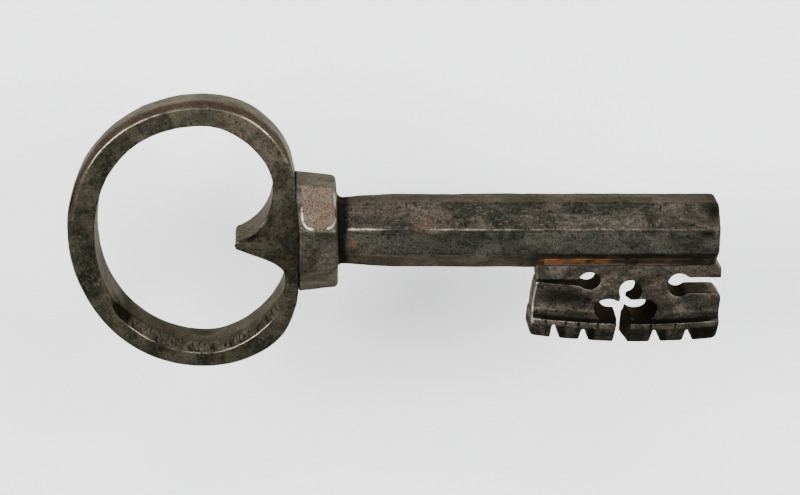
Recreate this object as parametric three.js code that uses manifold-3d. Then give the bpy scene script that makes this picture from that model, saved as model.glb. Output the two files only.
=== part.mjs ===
// Pipe key with a kidney bow, an octagonal collar and pipe, and a warded bit.
// Millimetres. X runs along the pipe from the bow to the bit, the bit reaches to -Y,
// and Z is the thickness. The origin is on the pipe's axis, half way along the key.

import * as THREE from 'three';
import { mergeVertices } from 'three/addons/utils/BufferGeometryUtils.js';
import Module from 'manifold-3d';

const wasm = await Module();
wasm.setup();

// Lengths along the axis
const bowLength = 38.5;
const collarLength = 6.6;
const pipeLength = 64.7;
const bitOverhang = 0.9;

// Bow ring, seen from the front. Distances along X are from its seat on the collar.
const bowWidth = 46.0;
const bowDepth = 10.2;
const bowWidest = 16.1;
const bowBevel = 0.75;
const bowBevelDepth = 2.0;
const bandAtEnd = 4.4;
const bandAtTop = 3.85;
const bandAtBottom = 3.7;
const holeWidest = 15.75;
const rootWidth = 19.0;

// The cusp that points into the ring, and the lobes of the hole beside it
const cuspLength = 10.7;
const cuspOffset = -1.4;
const cuspNose = 0.8;
const cuspFlare = 3.0;
const upperLobeWall = 4.25;
const upperLobeHeight = 8.8;
const lowerLobeWall = 2.2;
const lowerLobeHeight = 7.1;

// The cusp's half width where it flares, and where the curves of the lobes pull to
const cuspSpread = 2.25;
const lobeRun = 0.5;
const lobeRise = 0.42;
const lobeFall = 0.5;

// How full the round stretches of the ring are, as a share of each quarter, and how it
// leans in and rises as it leaves the collar
const upperFullness = 0.575;
const lowerFullness = 0.565;
const upperHoleFullness = 0.61;
const upperShoulder = 0.51;
const lowerShoulder = 0.61;
const upperLean = 1.75;
const upperRise = 7.4;
const lowerRise = 7.45;

// Tang of the bow, which passes through the collar and plugs the pipe
const tangReach = 15;
const tangFit = 0.3;

// Collar
const collarAtBow = 18.8;
const collarAtPipe = 17.0;
const collarEdge = 0.8;

// Pipe
const pipeWidth = 11.6;
const pipeWaist = 11.3;
const pipeNeck = 10.4;
const neckLength = 9;
const pipeBore = 7.0;
const pipeEdge = 0.65;

// Bit, as its section shows it from the pipe down to the fore edge
const bitReach = 19.1;
const webThickness = 4.9;
const ridgeThickness = 8.5;
const foreEdgeThickness = 6.8;
const foreEdgeHeight = 2.45;
const ridgeHeight = 0.85;
const flareHeight = 1.35;
const foreEdgeBow = 1.25;
const foreEdgeLowest = 14;

// Bit, as its outline shows it from the front
const bitLength = 31.3;
const bitSplay = 1.0;
const bitTaper = 0.9;
const bitCorner = 0.9;

// Keyhole wards: a sawn slot, and how far in and how deep the oval at its end lies
const leftWardSlot = { depth: 8.55, width: 0.7 };
const leftWardHole = { reach: 8.8, depth: 8.4, length: 3.8, height: 3.1 };
const rightWardSlot = { depth: 9.25, width: 2.6 };
const rightWardHole = { reach: 7.1, depth: 9.15, length: 4.1, height: 4.1 };

// Trefoil ward with a slot to the fore edge. Its lobes are placed from the middle.
const trefoilFromEnd = 16.1;
const trefoilDepth = 12.9;
const topLobe = { across: 0.7, up: 2.65, length: 3.95, height: 3.9 };
const leftLobe = { across: -2.95, up: -0.9, length: 4.9, height: 3.7 };
const rightLobe = { across: 3.1, up: -1.05, length: 5.3, height: 3.8 };
const slotTop = { across: 0.2, width: 2.2 };
const slotMouth = { across: -1.0, width: 2.7 };

// The ward holes are wider in front than behind
const backShare = 0.76;

// Notches in the fore edge, with their places from the bit's end
const notchWidth = 1.9;
const notchTopWidth = 1.1;
const notches = [
  { fromEnd: 28.2, depth: 3.0 },
  { fromEnd: 23.0, depth: 2.6 },
  { fromEnd: 10.85, depth: 2.4 },
  { fromEnd: 5.2, depth: 2.3 },
];

// Brazing along the bit's root
const brazeUp = 1.9;
const brazeDown = 0.8;
const brazeGap = 0.3;

// Numbers of facets
const octagonSides = 8;
const roundSides = 32;
const curveSteps = 14;
const edgeSteps = 3;
const filletSteps = 5;
const bitSteps = 16;

// Places that follow from the sizes
const overall = bowLength + collarLength + pipeLength + bitOverhang;
const bowEndX = -overall / 2;
const seatX = bowEndX + bowLength;
const pipeX = seatX + collarLength;
const pipeEndX = pipeX + pipeLength;
const bitEndX = pipeEndX + bitOverhang;
const bitX = bitEndX - bitLength;
const tangRadius = pipeBore / 2 - tangFit;
const rootY = -pipeWidth / 2;
const ridgeY = -(bitReach - foreEdgeHeight);
const flareY = ridgeY + ridgeHeight;
const webEndY = flareY + flareHeight;

// How far a cut runs past what it cuts
const past = 1;

function solidOf(geometry) {
  const bare = geometry.index ? geometry.toNonIndexed() : geometry.clone();
  bare.deleteAttribute('normal');
  bare.deleteAttribute('uv');
  const merged = mergeVertices(bare, 1e-4);
  return new wasm.Manifold(new wasm.Mesh({
    numProp: 3,
    vertProperties: merged.attributes.position.array,
    triVerts: new Uint32Array(merged.index.array),
  }));
}

function geometryOf(solid) {
  const mesh = solid.getMesh();
  const geometry = new THREE.BufferGeometry();
  geometry.setAttribute('position', new THREE.BufferAttribute(mesh.vertProperties, 3));
  geometry.setIndex(new THREE.BufferAttribute(mesh.triVerts, 1));
  geometry.computeVertexNormals();
  return geometry;
}

// A profile of [radius, x] points turned about the X axis. The facets are flat on top
// and in front when there are eight.
function turned(profile, sides) {
  const points = profile.map(([radius, x]) => new THREE.Vector2(radius, x));
  const geometry = new THREE.LatheGeometry(points, sides);
  geometry.rotateY(Math.PI / sides);
  geometry.rotateZ(-Math.PI / 2);
  return geometry;
}

const rod = (radius, fromX, toX) => solidOf(
  turned([[0, fromX], [radius, fromX], [radius, toX], [0, toX]], roundSides),
);

// The profile's points round an outer edge, from its side on to its end face
function roundedEdge(radius, x, edge) {
  return Array.from({ length: edgeSteps + 1 }, (_, step) => {
    const turn = (step / edgeSteps) * (Math.PI / 2);
    return [radius - edge * (1 - Math.cos(turn)), x - edge * (1 - Math.sin(turn))];
  });
}

const cornerRadius = (acrossFlats) => acrossFlats / 2 / Math.cos(Math.PI / octagonSides);

// A shape in the XY plane as a plate that is centred on the Z axis. Its flat bevels take
// bevel off the shape at both faces, and reach bevelDepth down its sides.
function plate(shape, depth, bevel = 0, bevelDepth = 0) {
  const geometry = new THREE.ExtrudeGeometry(shape, {
    depth: depth - 2 * bevelDepth,
    curveSegments: curveSteps,
    bevelEnabled: bevel > 0,
    bevelThickness: bevelDepth,
    bevelSize: bevel,
    bevelOffset: -bevel,
    bevelSegments: 1,
  });
  geometry.translate(0, 0, bevelDepth - depth / 2);
  return geometry;
}

// A shape with axes (y, z) carried along X
function alongX(shape, fromX, toX, steps) {
  const geometry = new THREE.ExtrudeGeometry(shape, {
    depth: toX - fromX,
    steps,
    curveSegments: filletSteps,
    bevelEnabled: false,
  });
  geometry.applyMatrix4(new THREE.Matrix4().set(
    0, 0, 1, fromX,
    1, 0, 0, 0,
    0, 1, 0, 0,
    0, 0, 0, 1,
  ));
  return geometry;
}

function block(fromX, toX, fromY, toY, depth) {
  const geometry = new THREE.BoxGeometry(toX - fromX, toY - fromY, depth);
  geometry.translate((fromX + toX) / 2, (fromY + toY) / 2, 0);
  return solidOf(geometry);
}

// An oval hole through the bit that narrows from its front face to its back face.
// Its middle draws in towards the line X = axisX as the hole narrows.
function wardHole(x, y, length, height, axisX) {
  const shape = new THREE.Shape();
  shape.absellipse(0, 0, length / 2, height / 2, 0, 2 * Math.PI);
  const geometry = plate(shape, 2 * ridgeThickness);
  const position = geometry.attributes.position;
  for (let i = 0; i < position.count; i += 1) {
    const along = (webThickness / 2 - position.getZ(i)) / webThickness;
    const share = 1 - (1 - backShare) * along;
    position.setX(i, axisX + (x - axisX + position.getX(i)) * share);
    position.setY(i, y + position.getY(i) * share);
  }
  return solidOf(geometry);
}

// The ring is drawn from the seat round its far end and back. Its two halves have the
// same far end, but each has its own lobe beside the cusp.
function bowOutline() {
  const half = bowWidth / 2;
  const root = rootWidth / 2;
  const widestX = seatX - bowWidest;
  const endRun = widestX - bowEndX;
  const shape = new THREE.Shape();
  shape.moveTo(seatX + past, -root);
  shape.lineTo(seatX, -root);
  shape.bezierCurveTo(
    seatX, -root - lowerRise,
    widestX + bowWidest * lowerShoulder, -half,
    widestX, -half,
  );
  shape.bezierCurveTo(
    widestX - endRun * lowerFullness, -half,
    bowEndX, -half * lowerFullness,
    bowEndX, 0,
  );
  shape.bezierCurveTo(
    bowEndX, half * upperFullness,
    widestX - endRun * upperFullness, half,
    widestX, half,
  );
  shape.bezierCurveTo(
    widestX + bowWidest * upperShoulder, half,
    seatX - upperLean, root + upperRise,
    seatX, root,
  );
  shape.lineTo(seatX + past, root);
  return shape;
}

function bowHole() {
  const top = bowWidth / 2 - bandAtTop;
  const bottom = -(bowWidth / 2 - bandAtBottom);
  const farX = bowEndX + bandAtEnd;
  const widestX = seatX - holeWidest;
  const noseX = seatX - cuspLength + cuspNose;
  const farRun = widestX - farX;
  const upperX = seatX - upperLobeWall;
  const lowerX = seatX - lowerLobeWall;
  const upperRun = (upperX - widestX) * lobeRun;
  const lowerRun = (lowerX - widestX) * lobeRun;
  const hole = new THREE.Path();
  hole.moveTo(farX, 0);
  hole.bezierCurveTo(
    farX, bottom * lowerFullness,
    widestX - farRun * lowerFullness, bottom,
    widestX, bottom,
  );
  hole.bezierCurveTo(
    widestX + lowerRun, bottom,
    lowerX, -lowerLobeHeight + (bottom + lowerLobeHeight) * lobeRise,
    lowerX, -lowerLobeHeight,
  );
  hole.bezierCurveTo(
    lowerX, -lowerLobeHeight + (lowerLobeHeight + cuspOffset) * lobeFall,
    noseX + cuspFlare, cuspOffset - cuspSpread,
    noseX, cuspOffset - cuspNose,
  );
  hole.absarc(noseX, cuspOffset, cuspNose, -Math.PI / 2, Math.PI / 2, true);
  hole.bezierCurveTo(
    noseX + cuspFlare, cuspOffset + cuspSpread,
    upperX, upperLobeHeight - (upperLobeHeight - cuspOffset) * lobeFall,
    upperX, upperLobeHeight,
  );
  hole.bezierCurveTo(
    upperX, upperLobeHeight + (top - upperLobeHeight) * lobeRise,
    widestX + upperRun, top,
    widestX, top,
  );
  hole.bezierCurveTo(
    widestX - farRun * upperHoleFullness, top,
    farX, top * upperHoleFullness,
    farX, 0,
  );
  return hole;
}

function bow() {
  const shape = bowOutline();
  shape.holes.push(bowHole());
  const ring = solidOf(plate(shape, bowDepth, bowBevel, bowBevelDepth));
  const trim = block(seatX, seatX + 4 * past, -rootWidth, rootWidth, 2 * bowDepth);
  const tang = rod(tangRadius, seatX - past, pipeX + tangReach);
  return ring.subtract(trim).add(tang);
}

function collar() {
  const profile = [
    [0, seatX],
    [cornerRadius(collarAtBow), seatX],
    ...roundedEdge(cornerRadius(collarAtPipe), pipeX, collarEdge),
    [0, pipeX],
  ];
  const hole = rod(pipeBore / 2, seatX - past, pipeX + past);
  return solidOf(turned(profile, octagonSides)).subtract(hole);
}

function pipe() {
  const full = cornerRadius(pipeWidth);
  const profile = [
    [0, pipeX],
    [cornerRadius(pipeNeck), pipeX],
    [cornerRadius(pipeWaist), pipeX + neckLength],
    [full, bitX],
    ...roundedEdge(full, pipeEndX, pipeEdge),
    [0, pipeEndX],
  ];
  const bore = rod(pipeBore / 2, pipeX - past, pipeEndX + past);
  return solidOf(turned(profile, octagonSides)).subtract(bore);
}

// The bit's section: a plain web that flares to a ridge and narrows to the fore edge
function bitSection() {
  const web = webThickness / 2;
  const ridge = ridgeThickness / 2;
  const fore = foreEdgeThickness / 2;
  const shape = new THREE.Shape();
  shape.moveTo(rootY, -web);
  shape.lineTo(webEndY, -web);
  shape.quadraticCurveTo(flareY, -web, flareY, -ridge);
  shape.lineTo(ridgeY, -ridge);
  shape.lineTo(-bitReach, -fore);
  shape.lineTo(-bitReach, fore);
  shape.lineTo(ridgeY, ridge);
  shape.lineTo(flareY, ridge);
  shape.quadraticCurveTo(flareY, web, webEndY, web);
  shape.lineTo(rootY, web);
  return shape;
}

// The section runs along X. Towards the fore edge it bows down, by the square of the
// distance from its lowest place.
function bitBlank() {
  const fromX = bitX - bitSplay;
  const geometry = alongX(bitSection(), fromX, bitEndX, bitSteps);
  const middle = bitEndX - foreEdgeLowest;
  const farthest = middle - fromX;
  const position = geometry.attributes.position;
  for (let i = 0; i < position.count; i += 1) {
    const y = position.getY(i);
    const share = THREE.MathUtils.clamp((rootY - y) / (rootY - webEndY), 0, 1);
    const out = (position.getX(i) - middle) / farthest;
    position.setY(i, y + share * foreEdgeBow * out * out);
  }
  return solidOf(geometry);
}

// The splayed front view that trims the blank, with its corners taken off
function bitOutline() {
  const low = -bitReach - past;
  const foreX = bitX - bitSplay;
  const shape = new THREE.Shape();
  shape.moveTo(pipeEndX, rootY);
  shape.lineTo(bitX, rootY);
  shape.lineTo(bitX, -leftWardSlot.depth);
  shape.lineTo(foreX, flareY);
  shape.lineTo(foreX, -bitReach + foreEdgeBow + bitCorner);
  shape.lineTo(foreX + bitCorner + past, low + foreEdgeBow);
  shape.lineTo(foreX + bitCorner + past, low);
  shape.lineTo(bitEndX - bitTaper - bitCorner, low);
  shape.lineTo(bitEndX - bitTaper, -bitReach + foreEdgeBow + bitCorner);
  shape.lineTo(bitEndX, -rightWardSlot.depth - rightWardSlot.width);
  shape.lineTo(bitEndX, rootY - bitOverhang);
  shape.quadraticCurveTo(bitEndX, rootY, pipeEndX, rootY);
  return solidOf(plate(shape, 2 * ridgeThickness));
}

// A sawn slot from an end of the bit to its hole. Inward is 1 from the left end.
function ward(endX, inward, slot, hole) {
  const holeX = endX + inward * hole.reach;
  const outerX = endX - inward * (bitSplay + past);
  const saw = block(
    Math.min(outerX, holeX),
    Math.max(outerX, holeX),
    -slot.depth - slot.width / 2,
    -slot.depth + slot.width / 2,
    2 * ridgeThickness,
  );
  return saw.add(wardHole(holeX, -hole.depth, hole.length, hole.height, holeX));
}

// Three lobes, and the leaning slot from their middle down to the fore edge
function trefoil() {
  const x = bitEndX - trefoilFromEnd;
  const y = -trefoilDepth;
  const low = -bitReach - past;
  const topX = x + slotTop.across;
  const mouthX = x + slotMouth.across;
  const slot = new THREE.Shape();
  slot.moveTo(topX - slotTop.width / 2, y + topLobe.up);
  slot.lineTo(topX + slotTop.width / 2, y + topLobe.up);
  slot.lineTo(mouthX + slotMouth.width / 2, low);
  slot.lineTo(mouthX - slotMouth.width / 2, low);
  let cut = solidOf(plate(slot, 2 * ridgeThickness));
  for (const lobe of [topLobe, leftLobe, rightLobe]) {
    cut = cut.add(wardHole(x + lobe.across, y + lobe.up, lobe.length, lobe.height, x));
  }
  return cut;
}

// A filed notch with a round top, wider at the fore edge
function notch({ fromEnd, depth }) {
  const x = bitEndX - fromEnd;
  const wide = notchWidth / 2;
  const narrow = notchTopWidth / 2;
  const round = -bitReach + depth - narrow;
  const shape = new THREE.Shape();
  shape.moveTo(x - wide, -bitReach - past);
  shape.lineTo(x - narrow, round);
  shape.absarc(x, round, narrow, Math.PI, 0, true);
  shape.lineTo(x + wide, -bitReach - past);
  return solidOf(plate(shape, 2 * ridgeThickness));
}

function bit() {
  const cuts = [
    ward(bitX, 1, leftWardSlot, leftWardHole),
    ward(bitEndX, -1, rightWardSlot, rightWardHole),
    trefoil(),
    ...notches.map(notch),
  ];
  let solid = bitBlank().intersect(bitOutline());
  for (const cut of cuts) {
    solid = solid.subtract(cut);
  }
  return solid;
}

// A bead of brazing in the corner between a slanted flat of the pipe and a face of the
// bit. It lies a small gap off both, and side is 1 in front and -1 behind.
function braze(side) {
  const diagonal = Math.SQRT1_2;
  const flatCorner = (pipeWidth / 2) * Math.tan(Math.PI / octagonSides);
  const z = webThickness / 2 + brazeGap;
  const y = rootY + (z - flatCorner) - brazeGap / diagonal;
  const section = new THREE.Shape();
  section.moveTo(y, side * z);
  section.lineTo(y + brazeUp * diagonal, side * (z + brazeUp * diagonal));
  section.quadraticCurveTo(
    y - brazeGap, side * (z + (brazeUp * diagonal) / 2),
    y - brazeDown, side * z,
  );
  return alongX(section, bitX, pipeEndX - pipeEdge, 1);
}

const darkIron = { color: 0x3d3a35, roughness: 0.5, metalness: 0.9 };
const paleIron = { color: 0x6d6259, roughness: 0.45, metalness: 0.9 };
const brazing = { color: 0x8a5026, roughness: 0.6, metalness: 0.8 };

const key = new THREE.Group();

function addPiece(name, solid, finish) {
  const mesh = new THREE.Mesh(geometryOf(solid), new THREE.MeshStandardMaterial(finish));
  mesh.name = name;
  key.add(mesh);
}

addPiece('bow', bow(), darkIron);
addPiece('collar', collar(), paleIron);
addPiece('pipe', pipe(), darkIron);
addPiece('bit', bit(), darkIron);
addPiece('braze_front', solidOf(braze(1)), brazing);
addPiece('braze_back', solidOf(braze(-1)), brazing);

export default key;
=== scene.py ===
# %% [markdown]
# An old pipe key, filed by hand
#
# The key has a ring with a cusp, an octagonal collar, an octagonal pipe and a warded bit.
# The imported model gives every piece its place. This script dresses each piece with a fine
# mesh and an iron finish, puts a pale floor under the key, and sets a camera and soft light.

# %% The frame
import math

import bpy
import numpy as np
from mathutils import Matrix, Vector


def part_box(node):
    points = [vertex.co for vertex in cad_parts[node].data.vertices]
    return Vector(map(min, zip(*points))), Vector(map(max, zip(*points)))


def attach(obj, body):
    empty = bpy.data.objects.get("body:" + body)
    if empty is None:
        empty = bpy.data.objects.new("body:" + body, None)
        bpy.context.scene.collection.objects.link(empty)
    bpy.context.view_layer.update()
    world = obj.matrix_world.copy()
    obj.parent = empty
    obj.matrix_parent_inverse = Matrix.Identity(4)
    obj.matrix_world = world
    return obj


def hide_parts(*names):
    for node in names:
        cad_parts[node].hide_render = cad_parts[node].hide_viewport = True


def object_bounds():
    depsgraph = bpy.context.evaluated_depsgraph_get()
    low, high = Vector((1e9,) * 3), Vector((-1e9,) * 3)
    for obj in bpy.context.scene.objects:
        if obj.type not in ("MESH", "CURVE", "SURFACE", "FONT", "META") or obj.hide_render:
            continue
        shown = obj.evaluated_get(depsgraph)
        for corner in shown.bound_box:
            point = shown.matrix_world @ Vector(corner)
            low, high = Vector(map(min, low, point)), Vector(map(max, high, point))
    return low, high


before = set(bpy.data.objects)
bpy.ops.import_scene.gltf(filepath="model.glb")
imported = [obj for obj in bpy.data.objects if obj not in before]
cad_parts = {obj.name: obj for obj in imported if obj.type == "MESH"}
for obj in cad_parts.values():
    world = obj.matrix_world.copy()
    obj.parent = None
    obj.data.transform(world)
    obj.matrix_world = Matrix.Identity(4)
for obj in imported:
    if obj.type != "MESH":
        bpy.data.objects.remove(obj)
cad_low, cad_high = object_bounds()
print("CAD box, mm:", [round(v * 1000, 2) for v in (*cad_low, *cad_high)])

# %% [markdown]
# Sizes from the frame
#
# Blender works in metres, and a key is easier to think of in millimetres. So every place
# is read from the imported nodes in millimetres, and each mesh is scaled as it is made.

# %% Places that the frame gives
MM = 0.001


def node_box(name):
    """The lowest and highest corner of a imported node, in millimetres."""
    low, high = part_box(name)
    return np.array(low) / MM, np.array(high) / MM


bow_low, bow_high = node_box("bow")
collar_low, collar_high = node_box("collar")
_, pipe_high = node_box("pipe")
bit_low, bit_high = node_box("bit")
bow_end_x = bow_low[0]
seat_x = collar_low[0]
pipe_x = collar_high[0]
pipe_end_x = pipe_high[0]
bit_end_x = bit_high[0]
tang_end_x = bow_high[0]
bow_half = bow_high[1]
bow_thick = bow_high[2]
pipe_half = pipe_high[1]
collar_half = collar_high[1]
bit_reach = -bit_low[1]
bit_thick = bit_high[2]
print("seat", round(seat_x, 2), "pipe from", round(pipe_x, 2), "to", round(pipe_end_x, 2))

# %% [markdown]
# Noise for dents
#
# A filed surface is never flat. The dents are a lattice of random values, read between its
# points with a smooth step, at a few sizes. It is computed for all the points of a mesh at
# once, and the seed makes it the same in each run.

# %% Lattice noise
LATTICE = 32
lattice = np.random.default_rng(11).random((LATTICE,) * 3) * 2 - 1


def dents(points, size, octaves=2):
    """Smooth noise between -1 and 1 at each point: random lattice values that lie a size
    apart, blended by the smooth step of the distance, with finer layers at half strength."""
    total = np.zeros(len(points))
    strength = 1.0
    for octave in range(octaves):
        place = points / size + 7.3 * octave
        cell = np.floor(place).astype(int)
        share = place - cell
        share = share * share * (3 - 2 * share)
        value = np.zeros(len(points))
        for corner in np.ndindex(2, 2, 2):
            weight = np.prod(np.where(corner, share, 1 - share), axis=1)
            at = (cell + corner) % LATTICE
            value += weight * lattice[at[:, 0], at[:, 1], at[:, 2]]
        total += strength * value
        strength /= 2
        size /= 2
    return total


print("lattice of", LATTICE, "values a side")

# %% [markdown]
# From a grid to a mesh
#
# Each new surface is a grid of points: rows run along the piece and columns run round its
# section. Joining each point with its neighbours makes the faces, and where a side is
# wrapped the last row or column joins the first, so that the piece is closed.

# %% Grid helpers
def smooth_step(value, low, high):
    """0 below low, 1 above high, and a smooth rise between."""
    share = np.clip((value - low) / (high - low), 0, 1)
    return share * share * (3 - 2 * share)


def window(value, start, full, leave, stop):
    """0 up to start, 1 between full and leave, and 0 again from stop on."""
    return smooth_step(value, start, full) * (1 - smooth_step(value, leave, stop))


def bell(value, middle, width):
    """1 at the middle, fading out to both sides over a width."""
    return np.exp(-(((value - middle) / width) ** 2))


def grid_faces(rows, columns, wrap_rows):
    """Corner numbers of the quads of a grid whose columns wrap round."""
    row = np.arange(rows if wrap_rows else rows - 1)[:, None]
    column = np.arange(columns)[None, :]
    after = (row + 1) % rows
    beside = (column + 1) % columns
    corners = [row * columns + column, row * columns + beside,
               after * columns + beside, after * columns + column]
    return np.stack(np.broadcast_arrays(*corners), axis=-1).reshape(-1, 4)


def encloses(points, quads):
    """Six times the volume inside the quads: positive where their faces point outwards."""
    a, b, c, d = (points[quads[:, corner]] for corner in range(4))
    halves = np.cross(b, c) + np.cross(c, d)
    return float((a * halves).sum())


def add_object(name, data):
    """Puts a mesh, a camera or a lamp into the scene."""
    made = bpy.data.objects.new(name, data)
    bpy.context.scene.collection.objects.link(made)
    return made


def make_mesh(name, points, quads, triangles=None, uv=None):
    """A smooth mesh object in metres from points in millimetres, its faces outwards."""
    mesh = bpy.data.meshes.new(name)
    points = np.asarray(points, dtype=float)
    quads = np.asarray(quads, dtype=np.int32)
    if encloses(points, quads) < 0:
        quads = quads[:, ::-1]
        triangles = None if triangles is None else np.asarray(triangles)[:, ::-1]
    loops = [quads.ravel()]
    sizes = [np.full(len(quads), 4)]
    if triangles is not None:
        loops.append(np.asarray(triangles, dtype=np.int32).ravel())
        sizes.append(np.full(len(triangles), 3))
    loops = np.concatenate(loops)
    sizes = np.concatenate(sizes)
    mesh.vertices.add(len(points))
    mesh.vertices.foreach_set("co", (points * MM).astype(np.float32).ravel())
    mesh.loops.add(len(loops))
    mesh.loops.foreach_set("vertex_index", loops.astype(np.int32))
    mesh.polygons.add(len(sizes))
    starts = np.concatenate([[0], np.cumsum(sizes)[:-1]])
    mesh.polygons.foreach_set("loop_start", starts.astype(np.int32))
    mesh.polygons.foreach_set("use_smooth", np.ones(len(sizes), dtype=bool))
    mesh.update(calc_edges=True)
    if uv is not None:
        layer = mesh.uv_layers.new(name="Run")
        layer.data.foreach_set("uv", uv[loops].astype(np.float32).ravel())
    mesh.validate()
    return add_object(name, mesh)


def points_of(mesh):
    """The places and normals of a mesh's points, the places in millimetres."""
    count = len(mesh.vertices)
    places = np.empty(count * 3, np.float32)
    normals = np.empty(count * 3, np.float32)
    mesh.vertices.foreach_get("co", places)
    mesh.vertex_normals.foreach_get("vector", normals)
    return places.reshape(-1, 3).astype(float) / MM, normals.reshape(-1, 3).astype(float)


def edges_of(mesh):
    """The two point numbers of each edge."""
    pairs = np.empty(len(mesh.edges) * 2, np.int32)
    mesh.edges.foreach_get("vertices", pairs)
    return pairs.reshape(-1, 2)


def spread(values, edges, rounds):
    """Each value becomes the mean of its own and its neighbours', a few times over."""
    values = np.array(values, dtype=float)
    count = np.bincount(edges.ravel(), minlength=len(values)) + 1.0
    for _ in range(rounds):
        total = values.copy()
        np.add.at(total, edges[:, 0], values[edges[:, 1]])
        np.add.at(total, edges[:, 1], values[edges[:, 0]])
        values = total / (count if values.ndim == 1 else count[:, None])
    return values


def mark_points(piece, reach, look):
    """Writes what the finish needs to know at each point. Look is a function of the places,
    the normals and the bend, which is how far a point stands out of its surroundings: the
    mean slope of the edges against the point's normal, over a reach in millimetres."""
    places, normals = points_of(piece.data)
    edges = edges_of(piece.data)
    along = places[edges[:, 1]] - places[edges[:, 0]]
    length = np.maximum(np.linalg.norm(along, axis=1), 1e-6)
    slope = np.zeros(len(places))
    weight = np.full(len(places), 1e-9)
    for end, sign in ((0, 1), (1, -1)):
        lean = -sign * (along * normals[edges[:, end]]).sum(axis=1) / length**2
        np.add.at(slope, edges[:, end], lean)
        np.add.at(weight, edges[:, end], 1)
    bend = spread(slope / weight, edges, rounds=2) * reach
    for name, value in look(places, normals, bend).items():
        layer = piece.data.attributes.new(name, "FLOAT", "POINT")
        layer.data.foreach_set("value", np.clip(value, 0, 1).astype(np.float32))
        print(piece.name, name, "over half:", round(float((value > 0.5).mean()), 3))


def move_points(piece, distance):
    """Moves each point along its normal by its own distance, in millimetres."""
    places, normals = points_of(piece.data)
    moved = (places + normals * distance[:, None]) * MM
    piece.data.vertices.foreach_set("co", moved.astype(np.float32).ravel())
    piece.data.update()


print("quads of a closed grid of 4 rows and 6 columns:", len(grid_faces(4, 6, wrap_rows=True)))

# %% [markdown]
# The ring
#
# The ring is kidney-shaped: an outer outline, and a hole with a cusp that points into it.
# Both are drawn with cubic curves through the same four quarters, so a rung can join each
# point of the hole with a point of the outline. No hand-made ring keeps to such a curve,
# so the outline is eased in and out by a few tenths of a millimetre. The section of the
# band, with its rounded arrises, is carried along the rungs.

# %% Outlines of the ring
HOLE_WIDEST = 15.75
BOW_WIDEST = 16.1
BAND_AT_END = 4.4
BAND_AT_TOP = 3.85
BAND_AT_BOTTOM = 3.7
ROOT_HALF = 9.5
CUSP_LENGTH = 10.7
CUSP_Y = -1.4
CUSP_NOSE = 0.8
CUSP_FLARE = 3.0
CUSP_SPREAD = 2.25
UPPER_LOBE = (4.25, 8.8)
LOWER_LOBE = (2.2, -7.1)
UPPER_FULL = 0.575
LOWER_FULL = 0.565
UPPER_HOLE_FULL = 0.61
LOBE_FULL = 0.42
LOWER_ARM = 0.61
LOWER_ARM_DROP = 7.45
UPPER_ARM = 0.53
UPPER_ARM_PULL = (1.9, 6.9)
CORNER_INSET = 0.75
CORNER_RISE = 0.9
CORNER_DROP = 0.9
ROOT_LEAN = 0.4
LEAN_TURN = 7.5
LEAN_FOOT = 3.5
# How far the outline is moved outwards in each direction from the ring's middle, and
# between which distances from the seat that sets in
EASE_CENTRE = (-36.5, 0.0)
EASE_FROM_SEAT = (0.3, 3)
EASE_ANGLES = [0, 30, 45, 60, 75, 90, 105, 120, 135, 150, 165, 180, 195, 210, 225, 240, 255,
               270, 285, 300, 315, 330, 360]
EASE_OUTER = [0, 0.35, 0.5, 0.36, 0.08, 0.05, 0.08, 0.2, 0.33, 0.42, 0.45, 0.33, 0.1, -0.12, -0.12,
              0, 0.1, 0.15, 0.15, 0.12, 0.28, 0.33, 0]


def cubic(ends, count):
    """Points along a cubic curve, by the Bernstein sum, without its last point."""
    t = np.linspace(0, 1, count, endpoint=False)[:, None]
    a, b, c, d = (np.array(p, dtype=float) for p in ends)
    return (1 - t) ** 3 * a + 3 * (1 - t) ** 2 * t * b + 3 * (1 - t) * t**2 * c + t**3 * d


def evenly(line, count):
    """The same open line with its points at equal steps of length, without the last."""
    step = np.linalg.norm(np.diff(line, axis=0), axis=1)
    length = np.concatenate([[0], np.cumsum(step)])
    at = np.linspace(0, length[-1], count, endpoint=False)
    return np.stack([np.interp(at, length, line[:, axis]) for axis in range(2)], axis=1)


def outer_quarters():
    """The outer outline, from the seat under the pipe round to the seat above it."""
    wide = seat_x - BOW_WIDEST
    run = wide - bow_end_x
    half = bow_half
    return [
        [(seat_x, -ROOT_HALF), (seat_x, -ROOT_HALF - LOWER_ARM_DROP),
         (wide + BOW_WIDEST * LOWER_ARM, -half), (wide, -half)],
        [(wide, -half), (wide - run * LOWER_FULL, -half),
         (bow_end_x, -half * LOWER_FULL), (bow_end_x, 0)],
        [(bow_end_x, 0), (bow_end_x, half * UPPER_FULL),
         (wide - run * UPPER_FULL, half), (wide, half)],
        [(wide, half), (wide + BOW_WIDEST * UPPER_ARM, half),
         (seat_x - UPPER_ARM_PULL[0], ROOT_HALF + UPPER_ARM_PULL[1]),
         (seat_x - CORNER_INSET, ROOT_HALF + CORNER_RISE)],
    ]


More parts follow.
